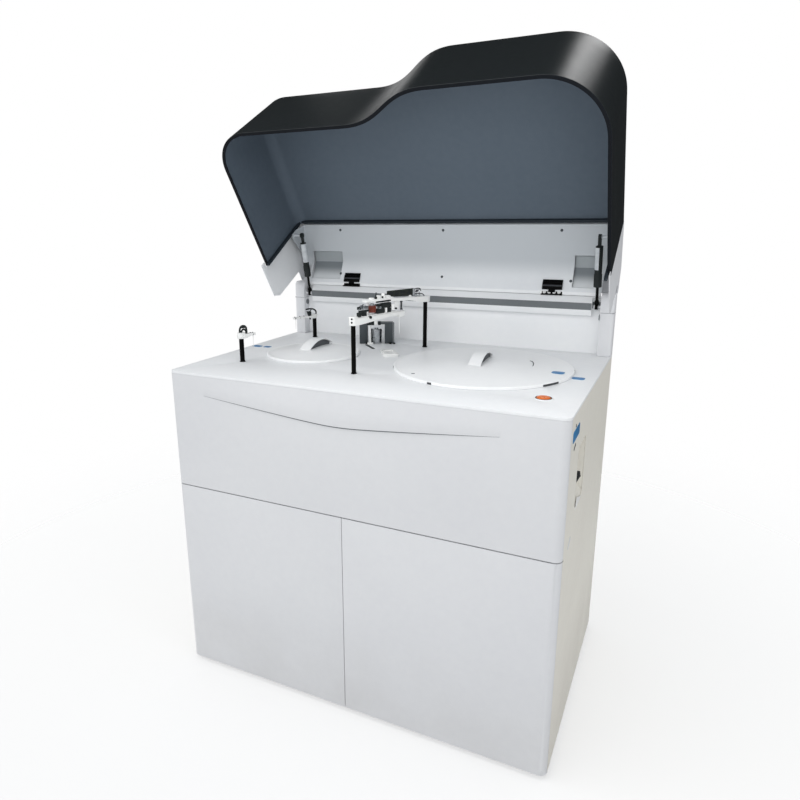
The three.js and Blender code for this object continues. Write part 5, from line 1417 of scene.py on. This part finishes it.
@dataclass
class WashStation:
    """The mixing and washing station at the back of the deck."""

    x: float = -180.0
    y: float = 574.0
    degrees: float = 24.0
    deck: float = 895.3

    def frame(self) -> Matrix:
        """The station's own frame, with its floor on the deck."""
        return cabinet_frame() @ planted((self.x, self.y, self.deck), self.degrees)

    def build(self) -> None:
        """Dresses the plates and the motor, and adds the rod, its clamps and the screws."""
        Bench.refine("wash_station_frame", GREY_METAL, width=0.8)
        here = self.frame()
        # A cheek that widens the right plate; its plain grey, in place of the plates' metal, is
        # painted light for the plate's lit side face.
        Bench.mount(Bench.block((53.4, -16.5, 0.4), (57.5, 16.5, 64), 1.0), LIP_GREY,
                    "wash_station_cheek", matrix=here, slot="grey_metal")
        motor = Bench.turned([(18, 0), (18, 3), (17.2, 3.6), (17.2, 30), (18, 30.6), (18, 44),
                              (16.5, 46), (6, 46), (6, 49)], sides=56)
        Bench.mount(motor, BRIGHT_STEEL, "wash_motor_body", matrix=here,
                    stands_for=["wash_station_motor"])
        rod = [Bench.turned([(3.2, 1), (3.2, 52), (4.2, 53), (4.2, 58)], sides=28,
                            centre=(-19, -26)),
               Bench.prism(rounded((-28, -34), (-9, -19), 4), 0, 6, 1.2, 3),
               Bench.block((-6, -23, 60), (5, -14, 74), 1.2)]
        Bench.mount(Bench.join(rod), ARM_WHITE, "wash_rod", matrix=here)
        dark = [Bench.block((-29, -22, 60), (-5, -12, 72), 1.2),
                Bench.block((6, -21, 60), (15, -12, 72), 1.2)]
        Bench.mount(Bench.join(dark), BLACK_PLASTIC, "wash_clamps", matrix=here)
        feet = screws([(57, -20, 0.6), (45, -22, 0.6), (-30, -20, 0.6)], Matrix.Identity(4),
                      4.2, 3.4)
        Bench.mount(feet, BLACK_METAL, "wash_foot_screws", matrix=here)


@dataclass(frozen=True)
class HoodForm:
    """One level of the hood's outline."""

    left_front: float
    right_front: float
    left_corner: float
    right_corner: float


@dataclass
class Hood:
    """The wavy hood, its trim, the liner under it and the hinges and screws."""

    half_width: float = 525.3
    rear: float = 166.0
    rim_down: float = 127.0
    top_up: float = 124.0
    wall: float = 5.0
    round_over: float = 8.0
    inner_round: float = 34.0
    rim_band: float = 4.0
    wave_start: float = -111.98
    wave_end: float = 118.02
    rim: HoodForm = HoodForm(606, 681, 108, 150)
    crown: HoodForm = HoodForm(592, 676, 112, 150)
    corner_steps: int = 26
    wave_steps: int = 40
    side_steps: int = 6

    def front(self, form: HoodForm) -> list[Flat]:
        """The outline from the left corner's start, round the front, to the right corner's end."""
        pull = (self.wave_end - self.wave_start) / 2
        left_y, right_y = -form.left_front, -form.right_front
        wave = []
        for i in range(self.wave_steps + 1):
            t = i / self.wave_steps
            a, b, c, d = (1 - t) ** 3, 3 * t * (1 - t) ** 2, 3 * t * t * (1 - t), t ** 3
            x = (a * self.wave_start + b * (self.wave_start + pull) + c * (self.wave_end - pull)
                 + d * self.wave_end)
            wave.append((x, a * left_y + b * left_y + c * right_y + d * right_y))
        return [
            *arc(-self.half_width + form.left_corner, left_y + form.left_corner, form.left_corner,
                 180, 270, self.corner_steps),
            *wave,
            *arc(self.half_width - form.right_corner, right_y + form.right_corner,
                 form.right_corner, 270, 360, self.corner_steps),
        ]

    def plan(self, form: HoodForm, inset: float, rear: float) -> list[Flat]:
        """The whole outline moved inwards along its normals and closed at the rear."""
        path = self.front(form)
        moved = []
        for i, (x, y) in enumerate(path):
            before = path[max(i - 1, 0)]
            after = path[min(i + 1, len(path) - 1)]
            run = (after[0] - before[0], after[1] - before[1])
            if i == 0:
                run = (0, -1)
            if i == len(path) - 1:
                run = (0, 1)
            length = math.hypot(*run) or 1
            moved.append((x - inset * run[1] / length, y + inset * run[0] / length))
        half = self.half_width - inset
        start, end = moved[0][1], moved[-1][1]
        steps = self.side_steps
        left = [(-half, -rear + (start + rear) * i / steps) for i in range(steps)]
        right = [(half, end + (-rear - end) * (i + 1) / steps) for i in range(steps)]
        return [*left, *moved, *right]

    def between(self, share: float) -> HoodForm:
        """The outline's form at a share of the way from the rim to the crown."""
        return HoodForm(*(a + (b - a) * share
                          for a, b in zip(astuple(self.rim), astuple(self.crown))))

    def straight(self) -> float:
        """The height from the rim to where the crown rounds over."""
        return self.top_up - self.round_over + self.rim_down

    def share(self, up: float) -> float:
        """How far a height is on the way from the rim to where the crown rounds over."""
        return min(1.0, (up + self.rim_down) / self.straight())

    def mount(self, piece: bpy.types.Object, finish: Finish, name: str, slot: str = "",
              smooth: float = 30) -> None:
        """Paints a piece that is drawn in the lid's millimetres and settles it on the lid."""
        Bench.mount(piece, finish, name, Body.LID, LID.matrix(), slot, smooth=smooth)

    def shell(self) -> None:
        """The hood's shell, open at its rim and at its rear."""
        levels: list[tuple[HoodForm, float, float]] = [
            (self.rim, 0.5, -self.rim_down), (self.rim, 0, -self.rim_down + 0.6)]
        levels += [(self.between(i / 6), 0, -self.rim_down + self.straight() * i / 6)
                   for i in range(1, 7)]
        for degrees in (15, 30, 45, 60, 75, 90):
            turn = math.radians(degrees)
            levels.append((self.crown, self.round_over * (1 - math.cos(turn)),
                           self.top_up - self.round_over * (1 - math.sin(turn))))
        outside = Bench.loft([[(x, y, z) for x, y in self.plan(form, inset, self.rear)]
                              for form, inset, z in levels])
        Bench.paint(outside, HOOD_BLACK)
        slope = (self.rim.left_front - self.crown.left_front) / (self.rim_down + self.top_up)
        lower = replace(self.rim, left_front=self.rim.left_front + slope * 5)
        ceiling = self.top_up - self.wall
        wall_top = ceiling - self.inner_round
        inner: list[tuple[HoodForm, float, float]] = [(lower, self.wall, -self.rim_down - 5)]
        for i in range(7):
            up = -self.rim_down + (wall_top + self.rim_down) * i / 6
            inner.append((self.between(self.share(up)), self.wall, up))
        for degrees in range(10, 91, 10):
            turn = math.radians(degrees)
            up = wall_top + self.inner_round * math.sin(turn)
            inner.append((self.between(self.share(up)),
                          self.wall + self.inner_round * (1 - math.cos(turn)), up))
        inside = Bench.loft([[(x, y, z) for x, y in self.plan(form, inset, self.rear - 5)]
                             for form, inset, z in inner])
        Bench.paint(inside, HOOD_INSIDE)
        Bench.carve(outside, inside, keep_paint=True)
        outside.data.materials.append(HOOD_RIM.material())
        rim_index = len(outside.data.materials) - 1
        for face in outside.data.polygons:
            if face.normal.z < -0.7 and face.center.z < -self.rim_down + 1:
                face.material_index = rim_index
            if face.normal.y > 0.9 and face.center.y > -self.rear - 1:
                face.material_index = rim_index
        Bench.settle(outside, "hood_skin", Body.LID, LID.matrix(), "hood", ["hood_shell"],
                     smooth=28)

    def rim_strip(self) -> None:
        """The dark band round the inside of the hood's open edge."""
        low, high = -self.rim_down + 0.2, -self.rim_down + 3.2
        outer = self.plan(self.rim, self.wall - 0.4, self.rear + 3)
        inner = self.plan(self.rim, self.wall + self.rim_band, self.rear + 3)
        rows = [[(*a, low), (*b, low), (*b, high), (*a, high)] for a, b in zip(outer, inner)]
        self.mount(Bench.loft(rows), HOOD_RIM, "hood_rim_band", smooth=28)

    def facing(self, start: Vector, end: Vector) -> Matrix:
        """The turn from z to the front of a liner panel that runs from one line to another."""
        run = (end - start).normalized()
        return Vector((0, -run.z, run.y)).to_track_quat("Z", "Y").to_matrix().to_4x4()

    def liner_screws(self) -> None:
        """The screws on the liner's two panels."""
        foot, fold, head = Vector((0, -7, 0)), Vector((0, -51, 62)), Vector((0, -160, 112))
        upper = [(x, *(fold + (head - fold) * 0.86)[1:]) for x in (-363, 0, 360)]
        lower = [(x, *(foot + (fold - foot) * 0.42)[1:]) for x in (-363, 0, 395)]
        heads = [screws(upper, self.facing(fold, head), 4.2, 2.2),
                 screws(lower, self.facing(foot, fold), 4.2, 2.2)]
        self.mount(Bench.join(heads), GREY_METAL, "liner_screws")

    def pockets(self) -> None:
        """The backs of the two notches in the liner, with painted shade that darkens the upper
        panel and the top of the lower one.
        """
        lower = [(-7.5, 14.5), (-43.5, 67), (-42.5, 67.8), (-6.5, 15.3)]
        upper = [(-43.5, 67), (-80, 84), (-79.6, 85), (-42.5, 67.8)]
        for outline, finish in ((lower, POCKET_LOWER_SHADE), (upper, POCKET_UPPER_SHADE)):
            backs = [Bench.turn(Bench.prism(outline, low, high), SIDEWAYS)
                     for low, high in ((-474.6, -362.4), (400.4, 460.6))]
            self.mount(Bench.join(backs), finish, f"liner_{finish.name}")

    def hinge_blocks(self) -> None:
        """The hinges' black leaf covers, ribs and feet, and the right foot's bright screws."""
        along, out = Vector((0, -0.579, 0.816)), Vector((0, -0.816, -0.579))
        foot = Vector((0, -7, 0))
        frame_turn = Matrix((Vector((1, 0, 0)), along, out)).transposed().to_4x4()
        place = Matrix.Translation(foot) @ frame_turn
        for x, name in ((-316.05, "left"), (344.93, "right")):
            leaf = Bench.block((x - 29, 3 if name == "left" else 6, 0.2), (x + 29, 26, 6), 1.4, 3)
            ears = [Bench.block((x + a, 23, 0.4), (x + a + 9, 29, 5.2), 1.2) for a in (-25, 15)]
            self.mount(Bench.turn(Bench.join([leaf, *ears]), place), BLACK_METAL,
                       f"hinge_cover_{name}")
            rib = Bench.turn(Bench.bar((x - 28, 15, 5.2), (x + 28, 15, 5.2), 2.6), place)
            self.mount(rib, SLOT_DARK, f"hinge_rib_{name}", slot="black_metal")
            axis = (LID.hinge_y, LID.hinge_z)
            base = Bench.join([Bench.block((x - 30, 660, 1061.1), (x + 30, 669, 1064.6), 0.8),
                               Bench.bar((x - 29, *axis), (x + 29, *axis), 4.85)])
            Bench.mount(base, BLACK_METAL, f"hinge_foot_{name}")
            if name == "right":
                lean = Vector((0, -0.8, 0.6)).to_track_quat("Z", "Y").to_matrix().to_4x4()
                places = [(x + dx, 667.8, 1069.2) for dx in (-21, -7, 7, 21)]
                Bench.mount(screws(places, lean, 5.2, 1.8), ARM_WHITE, "hinge_foot_screws",
                            slot="bright_metal")

    def foot_flap(self) -> None:
        """The pale flap that closes the slot between the liner's foot and the ledge."""
        outline = [(-7.0, 0.2), (-6.2, -0.9), (0.9, -4.7), (1.4, -3.9)]
        flaps = [Bench.turn(Bench.prism(outline, low, high), SIDEWAYS)
                 for low, high in ((-483, -347.5), (-284.5, 313.5), (376.5, 483))]
        self.mount(Bench.join(flaps), WALL_PAINT, "liner_foot_flap")

    def build(self) -> None:
        """Makes the hood, its liner and its fittings."""
        self.shell()
        Bench.refine("hood_edge_trim", TRIM_RUBBER, Body.LID, width=1.2, steps=3)
        for plate, finish in (("lid_liner", LINER_PAINT_SHADED_TOP), ("lid_rear_cover", WHITE_PAINT)):
            Bench.refine(plate, finish, Body.LID, smooth=20)
        for plate, finish in (("lid_side_left", WALL_PAINT), ("lid_side_right", WHITE_PAINT)):
            Bench.refine(plate, finish, Body.LID, width=0.5)
        self.rim_strip()
        self.pockets()
        self.liner_screws()
        self.hinge_blocks()
        self.foot_flap()
        for side in ("left", "right"):
            Bench.refine(f"lid_hinge_base_{side}", BLACK_METAL, width=0.3, smooth=40)
            Bench.refine(f"lid_hinge_leaf_{side}", BLACK_METAL, Body.LID, width=0.3, smooth=40)


@dataclass
class GasStruts:
    """The two gas struts that hold the hood up, with their labels."""

    label_low: float = 110.0
    label_high: float = 172.0

    def label(self, side: int) -> bpy.types.Object:
        """A plain silver label round part of the tube."""
        middle = -90 - 38 * side
        rows = []
        spread = 46 if side > 0 else 66
        for z in (self.label_low, self.label_low + 2, self.label_high - 2, self.label_high):
            outer = arc(0, 0, 10.35, middle - spread, middle + spread, 16)
            inner = arc(0, 0, 10.02, middle + spread, middle - spread, 16)
            rows.append([(x, y, z) for x, y in (*outer, *inner)])
        return Bench.loft(rows)

    def build(self) -> None:
        """Dresses the rods and tubes and adds the labels."""
        for side, name in ((-1, "left"), (1, "right")):
            Bench.refine(f"gas_strut_rod_{name}", BLACK_METAL, f"strut_rod_{name}",
                         width=0.4, smooth=45)
            Bench.refine(f"gas_strut_tube_{name}", BLACK_PLASTIC, f"strut_tube_{name}",
                         width=0.6, smooth=45)
            Bench.mount(self.label(side), STRUT_LABEL, f"strut_label_{name}",
                        f"strut_tube_{name}", StrutFrame(side).matrix())


# ----------------------------------------------------------------------------------------------
# Studio


@dataclass
class Studio:
    """The camera at the photograph's angle, the pale floor and the soft light."""

    eye: Point = (0.71206, -1.65633, 1.29413)
    right: Point = (0.89669, 0.44254, -0.01007)
    up: Point = (-0.10522, 0.23520, 0.96624)
    ahead: Point = (-0.42997, 0.86535, -0.25746)
    lens: float = 29.4146
    shift: Flat = (0.04172, -0.01418)
    floor_reach: float = 2.6
    ambient: float = 0.86
    sun_power: float = 0.55
    sun_spread: float = 55.0

    def camera(self) -> None:
        """Places the camera."""
        data = bpy.data.cameras.new("photo_camera")
        data.lens = self.lens
        data.sensor_width = 36.0
        data.shift_x, data.shift_y = self.shift
        data.clip_end = 60.0
        camera = bpy.data.objects.new("photo_camera", data)
        bpy.context.scene.collection.objects.link(camera)
        back = -Vector(self.ahead)
        turn = Matrix((self.right, self.up, back)).transposed().to_4x4()
        camera.matrix_world = Matrix.Translation(self.eye) @ turn
        bpy.context.scene.camera = camera

    def floor(self) -> None:
        """A pale floor, half see-through, that fades out round the cabinet."""
        Bench.clear()
        bpy.ops.mesh.primitive_plane_add(size=2 * self.floor_reach, location=(0, 0, 0))
        floor = bpy.context.object
        floor.name = "studio_floor"
        material = bpy.data.materials.new("studio_floor")
        material.use_nodes = True
        tree = material.node_tree
        shader = tree.nodes["Principled BSDF"]
        shader.inputs["Base Color"].default_value = linear(250, 250, 250)
        shader.inputs["Roughness"].default_value = 0.85
        shader.inputs["Specular IOR Level"].default_value = 0.1
        coords = node(tree, "TexCoord")
        reach = node(tree, "VectorMath", operation="LENGTH")
        fade = node(tree, "MapRange", {"From Min": 0.9, "From Max": self.floor_reach,
                                       "To Min": 0.5, "To Max": 0.0},
                    interpolation_type="SMOOTHSTEP")
        wire(tree, (coords.outputs["Object"], reach.inputs[0]),
             (reach.outputs["Value"], fade.inputs["Value"]),
             (fade.outputs["Result"], shader.inputs["Alpha"]))
        floor.data.materials.append(material)

    def lamp(self, name: str, place: Point, target: Point, size: Flat, power: float,
             only_gloss: bool = False, only_diffuse: bool = False) -> None:
        """A soft rectangular lamp.

        Args:
            name: Its name.
            place: Where it hangs.
            target: What it points at.
            size: Its width and height in metres.
            power: Its power in watts.
            only_gloss: Whether it shows in reflections alone.
            only_diffuse: Whether it leaves no reflections.
        """
        data = bpy.data.lights.new(name, "AREA")
        data.shape = "RECTANGLE"
        data.size, data.size_y = size
        data.energy = power
        lamp = bpy.data.objects.new(name, data)
        bpy.context.scene.collection.objects.link(lamp)
        aim = (Vector(target) - Vector(place)).to_track_quat("-Z", "Y").to_matrix().to_4x4()
        lamp.matrix_world = Matrix.Translation(place) @ aim
        lamp.visible_camera = False
        lamp.visible_diffuse = not only_gloss
        lamp.visible_glossy = not only_diffuse

    def sun(self) -> None:
        """One broad, soft light from high on the left in front."""
        data = bpy.data.lights.new("soft_sky_light", "SUN")
        data.energy = self.sun_power
        data.angle = math.radians(self.sun_spread)
        data.color = (1.0, 0.995, 0.985)
        sun = bpy.data.objects.new("soft_sky_light", data)
        bpy.context.scene.collection.objects.link(sun)
        aim = Vector((0.38, 0.42, -0.82)).to_track_quat("-Z", "Y").to_matrix().to_4x4()
        sun.matrix_world = Matrix.Translation((-2, -3, 4)) @ aim

    def world(self) -> None:
        """An even pale surround, which gloss sees as a room with a dark back wall."""
        world = bpy.data.worlds.new("studio_world")
        bpy.context.scene.world = world
        world.use_nodes = True
        tree = world.node_tree
        tree.nodes.clear()
        output = node(tree, "OutputWorld")
        seen = node(tree, "Background", {"Color": (1, 1, 1, 1)})
        even = node(tree, "Background", {"Color": (0.97, 0.985, 1.0, 1), "Strength": self.ambient})
        room = node(tree, "Background", {"Color": (0.98, 0.99, 1.0, 1)})
        coords = node(tree, "TexCoord")
        facing = node(tree, "VectorMath", {1: (-0.22, -0.94, -0.26)}, operation="DOT_PRODUCT")
        ramp = node(tree, "MapRange", {"From Min": -0.55, "From Max": 0.5,
                                       "To Min": 0.015, "To Max": 0.75},
                    interpolation_type="SMOOTHSTEP")
        path = node(tree, "LightPath")
        lit, whole = node(tree, "MixShader"), node(tree, "MixShader")
        wire(tree, (coords.outputs["Generated"], facing.inputs[0]),
             (facing.outputs["Value"], ramp.inputs["Value"]),
             (ramp.outputs["Result"], room.inputs["Strength"]),
             (path.outputs["Is Glossy Ray"], lit.inputs["Fac"]),
             (even.outputs["Background"], lit.inputs[1]),
             (room.outputs["Background"], lit.inputs[2]),
             (path.outputs["Is Camera Ray"], whole.inputs["Fac"]),
             (lit.outputs["Shader"], whole.inputs[1]),
             (seen.outputs["Background"], whole.inputs[2]),
             (whole.outputs["Shader"], output.inputs["Surface"]))

    def build(self) -> None:
        """Sets the camera, the floor, the lamps and the surround."""
        bpy.context.scene.view_settings.view_transform = "Standard"
        self.camera()
        self.floor()
        self.world()
        self.sun()
        self.lamp("deck_light", (0.17, -0.5, 1.42), (0.12, 0.3, 0.95), (1.3, 0.5), 2.4,
                  only_diffuse=True)
        self.lamp("wave_light", (-1.17, 1.67, 2.48), (-0.05, 0, 1.6), (0.5, 0.5), 0.8,
                  only_gloss=True)
        self.lamp("corner_light", (0.9, 1.7, 3.4), (0.4, -0.2, 1.75), (0.5, 1.2), 9,
                  only_gloss=True)


def main() -> None:
    """Builds the studio and every sub-assembly in order."""
    logging.basicConfig(level=logging.INFO, format="%(name)s: %(message)s")
    builders: list[Callable[[], None]] = [
        Studio().build, Cabinet().build, Deck().build, SideSwitch().build, RearHousing().build,
        Arms().build, WashStation().build, Hood().build, GasStruts().build,
    ]
    for build in builders:
        build()


if __name__ == "__main__":
    main()
